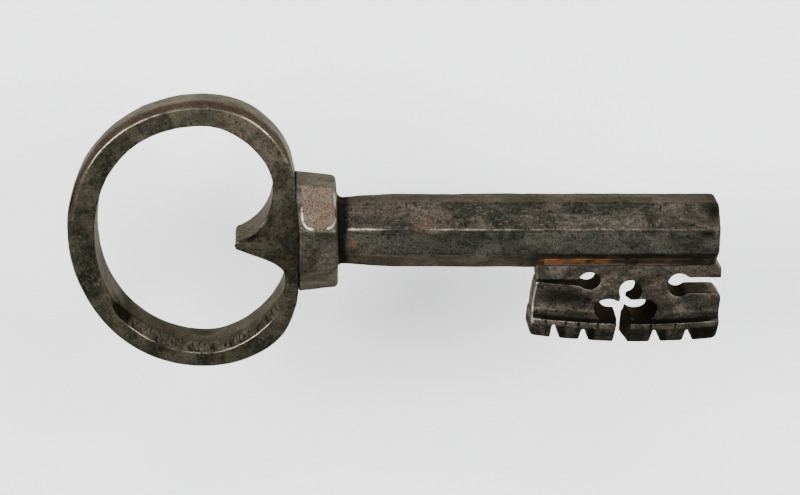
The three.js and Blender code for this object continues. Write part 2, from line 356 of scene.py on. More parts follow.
def inner_quarters():
    """The hole's outline from its lower lobe round to its upper lobe."""
    top = bow_half - BAND_AT_TOP
    bottom = BAND_AT_BOTTOM - bow_half
    far = bow_end_x + BAND_AT_END
    wide = seat_x - HOLE_WIDEST
    run = wide - far
    upper_x = seat_x - UPPER_LOBE[0]
    lower_x = seat_x - LOWER_LOBE[0]
    return [
        [(lower_x, LOWER_LOBE[1]),
         (lower_x, LOWER_LOBE[1] + (bottom - LOWER_LOBE[1]) * LOBE_FULL),
         (wide + (lower_x - wide) * 0.5, bottom), (wide, bottom)],
        [(wide, bottom), (wide - run * LOWER_FULL, bottom), (far, bottom * LOWER_FULL), (far, 0)],
        [(far, 0), (far, top * UPPER_HOLE_FULL), (wide - run * UPPER_HOLE_FULL, top),
         (wide, top)],
        [(wide, top), (wide + (upper_x - wide) * 0.5, top),
         (upper_x, UPPER_LOBE[1] + (top - UPPER_LOBE[1]) * LOBE_FULL),
         (upper_x, UPPER_LOBE[1])],
    ]


def cusp_line():
    """The hole's outline from its upper lobe over the cusp to its lower lobe."""
    nose_x = seat_x - CUSP_LENGTH + CUSP_NOSE
    upper_x = seat_x - UPPER_LOBE[0]
    lower_x = seat_x - LOWER_LOBE[0]
    above = cubic([(upper_x, UPPER_LOBE[1]), (upper_x, (UPPER_LOBE[1] + CUSP_Y) / 2),
                   (nose_x + CUSP_FLARE, CUSP_Y + CUSP_SPREAD),
                   (nose_x, CUSP_Y + CUSP_NOSE)], 80)
    turn = np.linspace(math.pi / 2, 3 * math.pi / 2, 24, endpoint=False)
    nose = np.stack([nose_x + CUSP_NOSE * np.cos(turn), CUSP_Y + CUSP_NOSE * np.sin(turn)], 1)
    below = cubic([(nose_x, CUSP_Y - CUSP_NOSE), (nose_x + CUSP_FLARE, CUSP_Y - CUSP_SPREAD),
                   (lower_x, (LOWER_LOBE[1] + CUSP_Y) / 2), (lower_x, LOWER_LOBE[1])], 80)
    return np.concatenate([above, nose, below, [(lower_x, LOWER_LOBE[1])]])


CURVE_STEPS = 200
QUARTER_STEPS = 150
CUSP_STEPS = 190


def eased(line):
    """The outer outline moved out by a few tenths of a millimetre, as much as the hand-made
    ring departs from the curves in each direction from its middle."""
    away = line - np.array(EASE_CENTRE)
    angle = np.degrees(np.arctan2(away[:, 1], away[:, 0])) % 360
    reach = np.linalg.norm(away, axis=1, keepdims=True)
    by = np.interp(angle, EASE_ANGLES, EASE_OUTER)
    by = by * smooth_step(seat_x - line[:, 0], *EASE_FROM_SEAT)
    return line + away / reach * by[:, None]


def ring_rungs():
    """Matching points of the hole and of the outer outline, all the way round. The side
    that meets the collar leans towards the ring at its top."""
    inner = []
    outer = []
    corner = (seat_x - ROOT_LEAN, ROOT_HALF - CORNER_DROP)
    for inside, outside in zip(inner_quarters(), outer_quarters()):
        for ends, line in ((inside, inner), (outside, outer)):
            curve = np.concatenate([cubic(ends, CURVE_STEPS), [ends[3]]])
            if line is outer and len(outer) == 3:
                curve = np.concatenate([curve, [corner]])
            line.append(evenly(curve, QUARTER_STEPS))
    inner.append(evenly(cusp_line(), CUSP_STEPS))
    outer = [eased(line) for line in outer]
    root = [corner, (seat_x - 0.8 * ROOT_LEAN, LEAN_TURN), (seat_x, LEAN_FOOT),
            (seat_x, -ROOT_HALF)]
    outer.append(evenly(np.array(root), CUSP_STEPS))
    return np.concatenate(inner), np.concatenate(outer)


inner_line, outer_line = ring_rungs()
print("rungs:", len(inner_line))

# %% Section of the ring
BEVEL_DROP = 2.1
OUTER_BEVEL = 0.75
OUTER_BEVEL_BELOW = 0.45
INNER_BEVEL = 1.05
INNER_DROP = 2.8
CUSP_ARRIS = 0.15
FAR_THINNER = 0.2
SEAT_FILLET = 0.7
SEAT_BEVEL = 0.14
BOW_MIDDLE_X = -30
HOLLOW = (-46.6, -13.2)
HOLLOW_SIZE = 2.3
HOLLOW_DEPTH = 0.5
OUTER_SHINE = 0.22
INNER_SHINE = 0.2
CUSP_SHINE = 0.65
# How bright the arrises of the upper and the lower half are along the key: rubbed steel and painted
# highlights
SHINE_X = [-54.5, -53, -50.5, -46, -44.5, -42.5, -41, -39, -36.5, -35, -31, -28, -25, -22.5,
           -20.5, -19]
SHINE_ABOVE = [0, 0.5, 1, 0.97, 0.96, 0.95, 0.72, 0.5, 0.45, 0.45, 0.42, 0.5, 1, 1, 0.3, 0]
SHINE_BELOW = [0, 0, 0, 0.3, 0.8, 0.8, 0.35, 0.3, 0.35, 0.6, 0.5, 0.85, 1, 0.9, 0.3, 0]


def arc(count):
    """Sine and cosine shares of a quarter turn, from 0 to 1."""
    turn = np.linspace(0, math.pi / 2, count)
    return np.sin(turn), np.cos(turn)


def rounded_line(corners, cuts, count):
    """A line through corners whose inner corners are cut short by a length on both sides
    and bridged by a quadratic curve. Corners is an array of rungs, corners and two sizes."""
    t = np.linspace(0, 1, count)[None, :, None]
    pieces = [corners[:, :1]]
    for k in range(1, corners.shape[1] - 1):
        before = corners[:, k - 1] - corners[:, k]
        after = corners[:, k + 1] - corners[:, k]
        long_before = np.linalg.norm(before, axis=1, keepdims=True)
        long_after = np.linalg.norm(after, axis=1, keepdims=True)
        cut = np.minimum(cuts[:, k:k + 1], 0.45 * np.minimum(long_before, long_after))
        start = (corners[:, k] + before / long_before * cut)[:, None]
        stop = (corners[:, k] + after / long_after * cut)[:, None]
        middle = corners[:, k][:, None]
        pieces.append((1 - t) ** 2 * start + 2 * t * (1 - t) * middle + t**2 * stop)
        if k < corners.shape[1] - 2:
            pieces.append(0.75 * stop + 0.25 * corners[:, k + 1][:, None])
            pieces.append(0.5 * stop + 0.5 * corners[:, k + 1][:, None])
    pieces.append(corners[:, -1:])
    return np.concatenate(pieces, axis=1)


def half_section(x, y, width, low_side):
    """Half of the band's section at each rung, as reach from the hole and height. It has six
    corners: the middle of the inner wall, the foot and the top of the inner bevel, the top
    and the foot of the outer bevel, and the middle of the outer wall. The outer bevel
    narrows to almost nothing where the ring meets the collar."""
    inner_bevel = CUSP_ARRIS + (INNER_BEVEL - CUSP_ARRIS) * low_side
    at_seat = smooth_step(outer_line[:, 0], seat_x - 0.6, seat_x - 0.01)
    high_side = smooth_step(y, -6, 5)
    at_corner = window(outer_line[:, 1], -9.6, -9.0, 10.5, 17)
    at_seat = np.maximum(at_seat, at_corner * (outer_line[:, 0] > BOW_MIDDLE_X))
    outer_bevel = OUTER_BEVEL_BELOW + (OUTER_BEVEL - OUTER_BEVEL_BELOW) * high_side
    outer_bevel = outer_bevel * (1 - at_seat) + SEAT_BEVEL * at_seat
    top = bow_thick - FAR_THINNER * smooth_step(seat_x - x, 8, 38)
    inner_foot = top - CUSP_ARRIS - (INNER_DROP - CUSP_ARRIS) * low_side
    outer_foot = top - BEVEL_DROP * (outer_bevel / OUTER_BEVEL)
    zero = np.zeros_like(width)
    corners = np.stack([
        np.stack([zero, zero], axis=1),
        np.stack([zero, inner_foot], axis=1),
        np.stack([inner_bevel, top], axis=1),
        np.stack([width - outer_bevel, top], axis=1),
        np.stack([width, outer_foot], axis=1),
        np.stack([width, zero], axis=1),
    ], axis=1)
    crisp = smooth_step(y, 4, 12)
    cuts = np.stack([zero, 0.1 + 0.9 * low_side, 0.12 + 0.18 * low_side, 0.8 - 0.45 * crisp,
                     (1.1 - 0.3 * crisp) * (1 - at_seat), zero], axis=1)
    half = rounded_line(corners, cuts, 9)
    walls = np.linspace(0, 1, 7)[1:-1][None, :, None]
    first = half[:, :1] + (half[:, 1:2] - half[:, :1]) * walls
    last = half[:, -2:-1] + (half[:, -1:] - half[:, -2:-1]) * walls
    return np.concatenate([half[:, :1], first, half[:, 1:-1], last, half[:, -1:]], axis=1), corners


def ring_points():
    """The surface of the ring: the front half of the section, with a bevel inside the lower part of
    the hole, and a plain back half. Beside the points it gives what the finish needs: where the
    arrises shine, which is rubbed steel with painted highlights, the outer bevel, whose upper half
    is painted partly as a dark reflection, and the inner bevel."""
    run = outer_line - inner_line
    width = np.linalg.norm(run, axis=1)
    toward = run / width[:, None]
    x, y = inner_line.T
    low_side = smooth_step(-y, 8.5, 13) * smooth_step(x, -50, -46)
    half, corners = half_section(x, y, width, low_side)
    plain, _ = half_section(x, y, width, 0 * low_side)
    reach, height = half[..., 0], half[..., 1]
    px = x[:, None] + toward[:, :1] * reach
    py = y[:, None] + toward[:, 1:] * reach
    inner_bevel = corners[:, 2:3, 0]
    top = corners[:, 2:3, 1]
    above_outer = reach - corners[:, 3:4, 0]
    to_outer = np.hypot(above_outer, height - top)
    to_inner = np.hypot(reach - inner_bevel, height - top)
    upper = smooth_step(py, 1, 7)
    lower = smooth_step(-py, 8, 12)
    cusp_edge = window(py, -1.6, -0.8, 2.5, 5.5) * smooth_step(px, -28.5, -27.5)
    # Painted highlights, over rubbed steel, on the arrises that face the light: the outer arris
    # above, the inner arris below and the cusp's edge
    shine = bell(to_outer, 0, OUTER_SHINE) * upper * np.interp(px, SHINE_X, SHINE_ABOVE)
    shine += bell(to_inner, 0, INNER_SHINE) * (
        lower * np.interp(px, SHINE_X, SHINE_BELOW) + CUSP_SHINE * cusp_edge)
    # The outer bevel, whose upper half is painted dark brown: partly the iron's tone and partly a
    # painted dark reflection
    band = smooth_step(above_outer, 0.02, 0.2) * smooth_step(height - corners[:, 4:5, 1], -0.3, 0.4)
    filed = 1 - smooth_step(reach - inner_bevel, -0.15, 0.1)
    filed = filed * smooth_step(height - corners[:, 1:2, 1], -0.5, 0.3) * low_side[:, None]
    near = np.clip((px - seat_x + SEAT_FILLET) / SEAT_FILLET, 0, 1)
    fillet = SEAT_FILLET * (1 - np.sqrt(1 - near**2))
    rise = fillet * smooth_step(height, 3.0, 5.0)
    front = np.stack([px, py, height + rise], axis=-1)
    back = np.stack([x[:, None] + toward[:, :1] * plain[..., 0],
                     y[:, None] + toward[:, 1:] * plain[..., 0], -plain[..., 1]], axis=-1)
    off = np.hypot(front[..., 0] - HOLLOW[0], front[..., 1] - HOLLOW[1])
    inner_side = smooth_step(-reach, -1.6, -0.2) * smooth_step(height, 0.5, 3.0)
    scoop = HOLLOW_DEPTH * bell(off, 0, HOLLOW_SIZE) * inner_side
    front[..., 0] += toward[:, :1] * scoop
    front[..., 1] += toward[:, 1:] * scoop
    fields = {"shine": (shine, 0.3), "band": (band * upper, 1.0), "filed": (filed, 0.0)}
    both = {name: np.concatenate([value, share * value[:, -2:0:-1]], axis=1).ravel()
            for name, (value, share) in fields.items()}
    return np.concatenate([front, back[:, -2:0:-1]], axis=1), both


def grid_uv(points):
    """Length along the rows and round the columns, in metres, for the file marks."""
    along = np.linalg.norm(np.diff(points, axis=0, prepend=points[:1]), axis=2).cumsum(axis=0)
    round_it = np.linalg.norm(np.diff(points, axis=1, prepend=points[:, :1]), axis=2)
    return np.stack([along, round_it.cumsum(axis=1)], axis=-1).reshape(-1, 2) * MM


def make_ring():
    """The ring's mesh and the fields that its finish needs."""
    points, fields = ring_points()
    rows, columns = points.shape[:2]
    quads = grid_faces(rows, columns, wrap_rows=True)
    return make_mesh("ring", points.reshape(-1, 3), quads, uv=grid_uv(points)), fields


ring, ring_fields = make_ring()
print("ring quads:", len(ring.data.polygons))

# %% [markdown]
# The collar and the pipe
#
# Both have eight facets. The smith filed them by eye, so each facet has its own angle and
# its own distance from the axis, and the arrises between them are worn round. One formula
# gives all of that: the distance to the surface in a direction is a high power mean of
# what the facets allow, and the power sets how sharp the arrises are.

# %% Facets
FACETS = 8
TWIST = -4.0
COLLAR_SHARP = 120
PIPE_SHARP = 62
COLUMNS = 176
CROWDED = 7
CROWD_REACH = 0.1


def facet_angles():
    """Directions of the facets from the front over the top, in radians."""
    return np.radians(np.arange(FACETS) * 360 / FACETS + TWIST)


def facet_radius(distance, sharp, angles=None):
    """Distance from the axis to the facets in each direction. Distance holds, for each
    row, how far each facet lies from the axis."""
    angles = facet_angles() if angles is None else angles
    lean = np.maximum(np.cos(direction[None, :, None] - angles), 0)
    middle = distance.mean()
    share = (lean * middle / distance[:, None, :]) ** sharp
    return middle * share.sum(axis=2) ** (-1 / sharp)


def facet_columns():
    """Directions that crowd together at the arrises, where the surface turns."""
    fine = np.linspace(0, 2 * math.pi, 7200, endpoint=False)
    corners = facet_angles() + math.pi / FACETS
    off = np.abs((fine[:, None] - corners + math.pi) % (2 * math.pi) - math.pi).min(axis=1)
    density = 1 + CROWDED * bell(off, 0, CROWD_REACH)
    total = np.cumsum(density)
    return np.interp(np.arange(COLUMNS) * total[-1] / COLUMNS, total, fine)


direction = facet_columns()
print("columns round a section:", len(direction))


def polar_points(x, radius):
    """Points at each row's x and each column's radius round the axis of the pipe."""
    x = np.broadcast_to(x, radius.shape)
    return np.stack([x, radius * np.sin(direction), radius * np.cos(direction)], axis=-1)


# %% The collar
# Direction of each facet, and its distance from the axis at the end by the ring
COLLAR_ANGLES = np.radians([-4.0, 35.6, 86.0, 131.0, 176.0, 221.0, 266.0, 311.0])
COLLAR_FACETS_AT_BOW = np.array([9.1, 8.83, 9.42, 9.3, 9.3, 9.3, 9.95, 9.55])
COLLAR_TAPER = 0.925
COLLAR_RIM = 0.8
COLLAR_LEFT_RIM = 0.45
COLLAR_SKEW = 0.2
COLLAR_LEFT_LEAN = 0.6
HIDDEN_HOLE = 2.5


def make_collar():
    """Rows run from the hole inside, out over the left face, along the tapered facets,
    round the worn rim and back in over the right face."""
    along = np.linspace(0, 1, 40)
    rise, fall = arc(12)
    x_side = seat_x + COLLAR_LEFT_RIM + (pipe_x - seat_x - COLLAR_LEFT_RIM - COLLAR_RIM) * along
    x = np.concatenate([
        [seat_x, seat_x, seat_x],
        seat_x + COLLAR_LEFT_RIM * (1 - fall[1:-1]),
        x_side,
        pipe_x - COLLAR_RIM + COLLAR_RIM * rise[1:],
        [pipe_x, pipe_x, pipe_x],
    ])
    taper = 1 + (COLLAR_TAPER - 1) * (x - seat_x) / (pipe_x - seat_x)
    radius = facet_radius(COLLAR_FACETS_AT_BOW * taper[:, None], COLLAR_SHARP, COLLAR_ANGLES)
    count = len(rise) - 2
    radius[:3] = radius[3] - COLLAR_LEFT_RIM
    radius[3:3 + count] -= COLLAR_LEFT_RIM * (1 - rise[1:-1])[:, None]
    last = len(x) - 3
    radius[last - len(rise) + 1:last] -= COLLAR_RIM * (1 - fall[1:])[:, None]
    radius[last:] = radius[last - 1]
    for row, share in ((0, 0.0), (1, 0.5), (last + 1, 0.5), (last + 2, 0.0)):
        radius[row] = HIDDEN_HOLE + (radius[row] - HIDDEN_HOLE) * share
    points = polar_points(x[:, None], radius)
    lean = COLLAR_SKEW * smooth_step(points[..., 0], seat_x + 2, pipe_x)
    points[..., 0] -= lean * points[..., 1] / collar_half
    at_left = 1 - smooth_step(points[..., 0], seat_x + 0.5, seat_x + 3.5)
    points[..., 0] -= COLLAR_LEFT_LEAN * at_left * smooth_step(points[..., 1], 1, 9)
    quads = grid_faces(len(points), COLUMNS, wrap_rows=True)
    return make_mesh("collar_shell", points.reshape(-1, 3), quads, uv=grid_uv(points))


collar = make_collar()
print("collar quads:", len(collar.data.polygons))

# %% The pipe
# Distance of each facet from the axis
PIPE_FACETS = np.array([6.05, 5.8, 5.8, 5.8, 5.8, 5.8, 6.1, 5.85])
NECK_SHARE = 0.895
NECK_LENGTH = 9.5
NECK_FILLET = 1.0
PIPE_RIM = 0.9
BORE_RADIUS = 3.5
BORE_RIM = 0.3
PIPE_ROWS = 240


def make_pipe():
    """Rows run along the facets from inside the collar, round the end's rim, in over the
    end face, and back down the bore."""
    rise, fall = arc(10)
    side = np.linspace(pipe_x - 0.3, pipe_end_x - PIPE_RIM, PIPE_ROWS)
    x = np.concatenate([side, pipe_end_x - PIPE_RIM + PIPE_RIM * rise[1:]])
    swell = smooth_step(x, pipe_x - 1, pipe_x + NECK_LENGTH)
    share = NECK_SHARE + (0.985 - NECK_SHARE) * swell
    share += 0.015 * smooth_step(x, pipe_x + NECK_LENGTH, bit_low[0])
    outer = facet_radius(PIPE_FACETS * share[:, None], PIPE_SHARP)
    near = np.clip((pipe_x + NECK_FILLET - x) / NECK_FILLET, 0, 1)
    outer += (NECK_FILLET * (1 - np.sqrt(1 - near**2)))[:, None]
    outer[PIPE_ROWS:] -= PIPE_RIM * (1 - fall[1:])[:, None]
    inward = np.linspace(0, 1, 7)[1:, None]
    face = outer[-1] + (BORE_RADIUS + BORE_RIM - outer[-1]) * inward
    bore = np.full((20, COLUMNS), BORE_RADIUS)
    bore_x = np.linspace(pipe_end_x - BORE_RIM, pipe_x - 0.3, 20)
    x = np.concatenate([x, np.full(len(inward), pipe_end_x), bore_x])
    points = polar_points(x[:, None], np.concatenate([outer, face, bore]))
    quads = grid_faces(len(points), COLUMNS, wrap_rows=True)
    return make_mesh("pipe_shell", points.reshape(-1, 3), quads, uv=grid_uv(points))


pipe = make_pipe()
print("pipe quads:", len(pipe.data.polygons))

# %% [markdown]
# The bit
#
# The bit is a plate with a shaped section and with wards and notches cut through it. A
# solid like that is easiest to write as a field: a number at each point of space, below
# zero in the iron, made of planes and ovals joined by a smooth greatest value that leaves
# worn arrises. A net of quads is then laid where the field passes through zero.

# %% Field helpers
def soft_max(a, b, blend):
    """The greater of two fields, with the corner between them rounded off over a blend."""
    near = np.maximum(blend - np.abs(a - b), 0) / blend
    return np.maximum(a, b) + near * near * blend / 4


def soft_min(a, b, blend):
    """The lesser of two fields, with a fillet in the corner between them."""
    return -soft_max(-a, -b, blend)


def field_net(field, low, step):
    """The net of a field on a regular grid. A cell whose corners differ in sign gets a
    point, the mean of where its edges cross zero, and each crossed edge of the grid gets a
    quad of the four cells round it."""
    size = np.array(field.shape)
    total = np.zeros((*(size - 1), 3))
    count = np.zeros(size - 1)
    for axis in range(3):
        ahead = np.moveaxis(field, axis, 0)
        start, stop = ahead[:-1], ahead[1:]
        crossed = (start < 0) != (stop < 0)
        share = np.where(crossed, start / np.where(crossed, start - stop, 1), 0)
        crossed = np.moveaxis(crossed, 0, axis)
        share = np.moveaxis(share, 0, axis)
        others = [a for a in range(3) if a != axis]
        for shift in np.ndindex(2, 2):
            cut = [slice(None)] * 3
            offset = np.zeros(3)
            for other, by in zip(others, shift):
                cut[other] = slice(by, size[other] - 1 + by)
                offset[other] = by
            here = crossed[tuple(cut)]
            total += here[..., None] * offset
            total[..., axis] += share[tuple(cut)]
            count += here
    cells = np.argwhere(count > 0)
    number = np.full(size - 1, -1)
    number[tuple(cells.T)] = np.arange(len(cells))
    mean = total[tuple(cells.T)] / count[tuple(cells.T)][:, None]
    points = low + (cells + mean) * step
    quads = []
    for axis in range(3):
        ahead = np.moveaxis(field, axis, 0)
        crossed = np.moveaxis((ahead[:-1] < 0) != (ahead[1:] < 0), 0, axis)
        edge = np.argwhere(crossed)
        inner = [a for a in range(3) if a != axis]
        keep = np.all(edge[:, inner] > 0, axis=1) & np.all(edge[:, inner] < size[inner] - 1, axis=1)
        edge = edge[keep]
        first = field[tuple(edge.T)] < 0
        ring_of_cells = []
        for back in ((1, 1), (0, 1), (0, 0), (1, 0)):
            cell = edge.copy()
            cell[:, inner[0]] -= back[0]
            cell[:, inner[1]] -= back[1]
            ring_of_cells.append(number[tuple(cell.T)])
        quad = np.stack(ring_of_cells, axis=1)
        turn = first if axis != 1 else ~first
        quad[~turn] = quad[~turn, ::-1]
        quads.append(quad)
    return points, np.concatenate(quads)


def settle(points, field, rounds=2, reach=0.02):
    """Moves points onto the field's zero, down its slope by finite steps."""
    for _ in range(rounds):
        slope = np.stack([
            (field(points + reach * axis) - field(points - reach * axis)) / (2 * reach)
            for axis in np.eye(3)
        ], axis=1)
        steep = np.maximum((slope**2).sum(axis=1), 0.05)
        points = points - slope * (field(points) / steep)[:, None]
    return points


print("a corner where two planes meet is cut back by", soft_max(0.0, 0.0, 0.4), "mm")

# %% The bit's sizes, in millimetres
WEB_HALF = 2.45
RIDGE_HALF = bit_thick
RIDGE_TOP = -15.6
RIDGE_FOOT = -16.5
FORE_HALF = 3.4
FORE_BOW = 1.25
FORE_LOWEST_X = bit_end_x - 14
ROOT_Y = -pipe_half + 0.7
END_SLANT = 0.08
# The ends of the bit, as pairs of the height and the place along the key
LEFT_END = [(-5.0, 23.5), (-8.0, 23.75), (-8.7, 23.65), (-10.15, 23.4), (-11.6, 23.15),
            (-13.9, 22.95), (-15.5, 22.85), (-17.2, 22.65), (-19.3, 22.75)]
RIGHT_END = [(-4.6, 54.0), (-5.9, 55.35), (-6.5, 55.5), (-9.2, 55.5), (-9.9, 54.5),
             (-11.1, 55.5), (-11.8, 55.55), (-13.9, 55.35), (-16.0, 55.15), (-19.3, 54.6)]
# Each hole's middle and half sizes
HOLES = [
    ("left", 32.85, -8.45, 1.85, 1.5),
    ("right", 48.3, -9.2, 2.0, 2.0),
    ("top lobe", 40.0, -10.3, 1.92, 1.92),
    ("left lobe", 36.2, -13.4, 2.4, 1.68),
    ("right lobe", 42.1, -13.45, 2.55, 1.68),
]
BACK_SHARE = 0.72
TREFOIL_X = 39.25
# The trefoil's slot at its top and at its mouth: height, middle and half width
SLOT_TOP = (-10.2, 39.5, 1.02)
SLOT_MOUTH = (-18.5, 38.32, 1.22)
# Each notch's middle, height, half width at the top and how fast it widens
NOTCHES = [
    (27.0, 2.5, 0.55, 0.12),
    (32.0, 2.1, 0.48, 0.2),
    (44.25, 2.3, 0.46, 0.25),
    (49.85, 2.1, 0.46, 0.25),
]
ARRIS = 0.36
WARD_ARRIS = 0.22


def oval(x, y, centre_x, centre_y, half_x, half_y):
    """About the distance to an oval: the scaled radius less one, by its mean half size."""
    across = (x - centre_x) / half_x
    up = (y - centre_y) / half_y
    radius = np.sqrt(across**2 + up**2)
    steep = np.sqrt((across / half_x) ** 2 + (up / half_y) ** 2)
    return radius * (radius - 1) / np.maximum(steep, 0.05)


def fore_level(x, y):
    """Height on the bit, measured along its bowed fore edge."""
    share = np.clip((y - ROOT_Y) / (RIDGE_TOP - ROOT_Y), 0, 1)
    out = (x - FORE_LOWEST_X) / (bit_low[0] - FORE_LOWEST_X)
    return y - share * FORE_BOW * out**2


def end_at(y, line):
    """Where an end of the bit lies at each height."""
    heights, ends = np.array(line).T
    return np.interp(-y, -heights, ends)


def bit_field(points):
    """Below zero in the iron of the bit."""
    x, y, z = np.moveaxis(points, -1, 0)
    level = fore_level(x, y)
    depth = np.abs(z)
    web = depth - WEB_HALF
    ridge = soft_max(depth - RIDGE_HALF, level - RIDGE_TOP, 0.3)
    solid = soft_min(web, ridge, 2.2)
    slope = (RIDGE_HALF - FORE_HALF) / (RIDGE_FOOT + bit_reach)
    bevel = (depth - RIDGE_HALF - slope * (level - RIDGE_FOOT)) / math.hypot(1, slope)
    solid = soft_max(solid, bevel, 0.3)
    slant = END_SLANT * np.clip((WEB_HALF - z) / (2 * WEB_HALF), -0.2, 1)
    ends = soft_max(end_at(y, LEFT_END) - slant - x, x - end_at(y, RIGHT_END), ARRIS)
    fore = soft_max(ends, -bit_reach - level, 0.9)
    solid = soft_max(solid, soft_max(fore, y - ROOT_Y, ARRIS), ARRIS)
    return cut_wards(solid, x, y, z, level)


def slot_middle(y):
    """The middle and the half width of the trefoil's slot at a height."""
    share = np.clip((SLOT_TOP[0] - y) / (SLOT_TOP[0] - SLOT_MOUTH[0]), 0, 1.1)
    middle = SLOT_TOP[1] + (SLOT_MOUTH[1] - SLOT_TOP[1]) * share
    return middle, SLOT_TOP[2] + (SLOT_MOUTH[2] - SLOT_TOP[2]) * share


def cut_wards(solid, x, y, z, level):
    """Takes the wards and notches out of the solid. They narrow towards the back."""
    narrow = BACK_SHARE + (1 - BACK_SHARE) * np.clip((z + WEB_HALF) / (2 * WEB_HALF), 0, 1.3)
    cuts = []
    for name, centre_x, centre_y, half_x, half_y in HOLES:
        middle = TREFOIL_X + (centre_x - TREFOIL_X) * narrow if "lobe" in name else centre_x
        cuts.append(oval(x, y, middle, centre_y, half_x * narrow, half_y * narrow))
    lobes = np.minimum(np.minimum(cuts[2], cuts[3]), cuts[4])
    middle, half = slot_middle(y)
    inset = 1.1 * (1 - np.minimum(narrow, 1))
    slot = soft_max(np.abs(x - middle + inset) - half + inset, y - SLOT_TOP[0], 0.2)
    left_half = 0.18 + 0.34 * np.clip((x - 24) / 7, 0, 1)
    left_slot = np.maximum(np.abs(y + 8.22 + left_half) - left_half, x - 32.85)
    right_half = 1.37 - 0.3 * (1 - narrow) / (1 - BACK_SHARE)
    right_slot = np.maximum(np.abs(y + 7.9 + right_half) - right_half, 48.25 - x)
    solid = soft_max(solid, -soft_min(lobes, slot, 0.4), WARD_ARRIS)
    solid = soft_max(solid, -soft_min(cuts[0], left_slot, 0.4), WARD_ARRIS)
    solid = soft_max(solid, -soft_min(cuts[1], right_slot, 0.4), WARD_ARRIS)
    for centre, height, top_half, spread_out in NOTCHES:
        round_y = -bit_reach + height - top_half
        below = np.maximum(round_y - level, 0)
        wide = (top_half + spread_out * below) * (0.78 + 0.22 * narrow)
        notch = np.hypot(x - centre, np.maximum(level - round_y, 0)) - wide
        solid = soft_max(solid, -notch, ARRIS)
    return solid


print("field inside the web:", round(float(bit_field(np.array([30.0, -12.0, 0.0]))), 2))

# %% The bit's net
NET_STEP = 0.15


def make_bit():
    """The bit as a net of its field."""
    low = np.array([bit_low[0] - 1.2, -bit_reach - 0.6, -bit_thick - 0.6])
    high = np.array([bit_end_x + 0.6, ROOT_Y + 0.6, bit_thick + 0.6])
    count = np.ceil((high - low) / NET_STEP).astype(int)
    axes = [low[i] + NET_STEP * np.arange(count[i]) for i in range(3)]
    grid = np.stack(np.meshgrid(*axes, indexing="ij"), axis=-1)
    points, quads = field_net(bit_field(grid), low, NET_STEP)
    points = settle(points, bit_field)
    return make_mesh("warded_bit", points, quads)


bit = make_bit()
print("bit quads:", len(bit.data.polygons))

# %% [markdown]
# The brazing and the tang
#
# The bit is brazed to the pipe, and a thin bead of brazing metal lies in the corner on
# each face. Its section has three sides, carried along the joint with an uneven size. The
# tang is the plain rod behind the ring that closes the bore, deep inside the pipe.

# %% Beads and tang
BEAD_ROWS = 220
# How much brazing metal shows along the joint
BRASS_X = [23.5, 24.6, 28.0, 35.0, 37.5, 40.5, 42.0, 46.5, 48.5, 50.0]
BRASS_SHARE = [0.0, 0.9, 1.0, 0.95, 0.1, 0.1, 0.5, 0.55, 0.1, 0.0]
# Each bead's buried corner and the ends of its two legs, as height and depth
FRONT_BEAD = [(-4.6, 2.2), (-3.8, 4.75), (-5.75, 2.52)]
BACK_BEAD = [(-5.3, -2.2), (-4.4, -3.8), (-6.2, -2.4)]
TANG_RADII = [3.2, 3.2, 3.0, 2.5]
TANG_COLUMNS = 48


def bead_section(corner, up, down, count=9):
    """The closed section: from the buried corner up one leg, and back over a hollow."""
    t = np.linspace(0, 1, count)[:, None]
    corner, up, down = (np.array(p) for p in (corner, up, down))
    pull = corner * 0.1 + (up + down) * 0.45
    hollow = (1 - t) ** 2 * up + 2 * t * (1 - t) * pull + t**2 * down
    legs = np.linspace(0, 1, 4, endpoint=False)[1:, None]
    return np.concatenate([[corner], corner + (up - corner) * legs, hollow,
                           down + (corner - down) * legs])


def cap_fans(rows, columns, count):
    """Triangles that close the first and the last row onto two added points."""
    column = np.arange(columns)
    beside = (column + 1) % columns
    first = np.stack([beside, column, np.full(columns, count)], axis=1)
    last_row = (rows - 1) * columns
    last = np.stack([last_row + column, last_row + beside, np.full(columns, count + 1)], axis=1)
    return np.concatenate([first, last])


def capped(name, points):
    """A closed mesh from a grid whose first and last rows are shut by fans."""
    rows, columns = points.shape[:2]
    ends = np.stack([points[0].mean(axis=0), points[-1].mean(axis=0)])
    flat = np.concatenate([points.reshape(-1, 3), ends])
    quads = grid_faces(rows, columns, wrap_rows=False)
    fans = cap_fans(rows, columns, rows * columns)
    return make_mesh(name, flat, quads, triangles=fans[:, ::-1])


def make_bead(name, corners):
    """A bead along the joint, fuller where the brazing metal shows, and swelled by noise."""
    x = np.linspace(bit_low[0] + 1.3, pipe_end_x - 0.8, BEAD_ROWS)
    section = bead_section(*corners)
    corner = section[0]
    along = np.stack([x, np.full_like(x, corner[0]), np.full_like(x, corner[1])], axis=1)
    swell = 0.9 + 0.1 * np.interp(x, BRASS_X, BRASS_SHARE) + 0.06 * dents(along, 1.7, 3)
    ends = np.minimum(smooth_step(x, x[0] - 0.3, x[0] + 0.8),
                      1 - smooth_step(x, x[-1] - 0.8, x[-1] + 0.3))
    scale = (swell * (0.4 + 0.6 * ends))[:, None, None]
    flat = corner + (section - corner)[None] * scale
    runs = np.broadcast_to(x[:, None, None], (*flat.shape[:2], 1))
    points = np.concatenate([runs, flat], axis=-1)
    return capped(name, points)


def make_tang():
    """A plain rod with a slightly rounded end."""
    turn = np.linspace(0, 2 * math.pi, TANG_COLUMNS, endpoint=False)
    x = np.array([seat_x + 0.4, tang_end_x - 0.6, tang_end_x - 0.2, tang_end_x])[:, None]
    radius = np.array(TANG_RADII)[:, None]
    rod = np.broadcast_arrays(x, radius * np.sin(turn), radius * np.cos(turn))
    return capped("tang", np.stack(rod, axis=-1))


bead_front = make_bead("bead_front", FRONT_BEAD)
bead_back = make_bead("bead_back", BACK_BEAD)
tang = make_tang()
print("beads and tang:", [len(o.data.polygons) for o in (bead_front, bead_back, tang)])
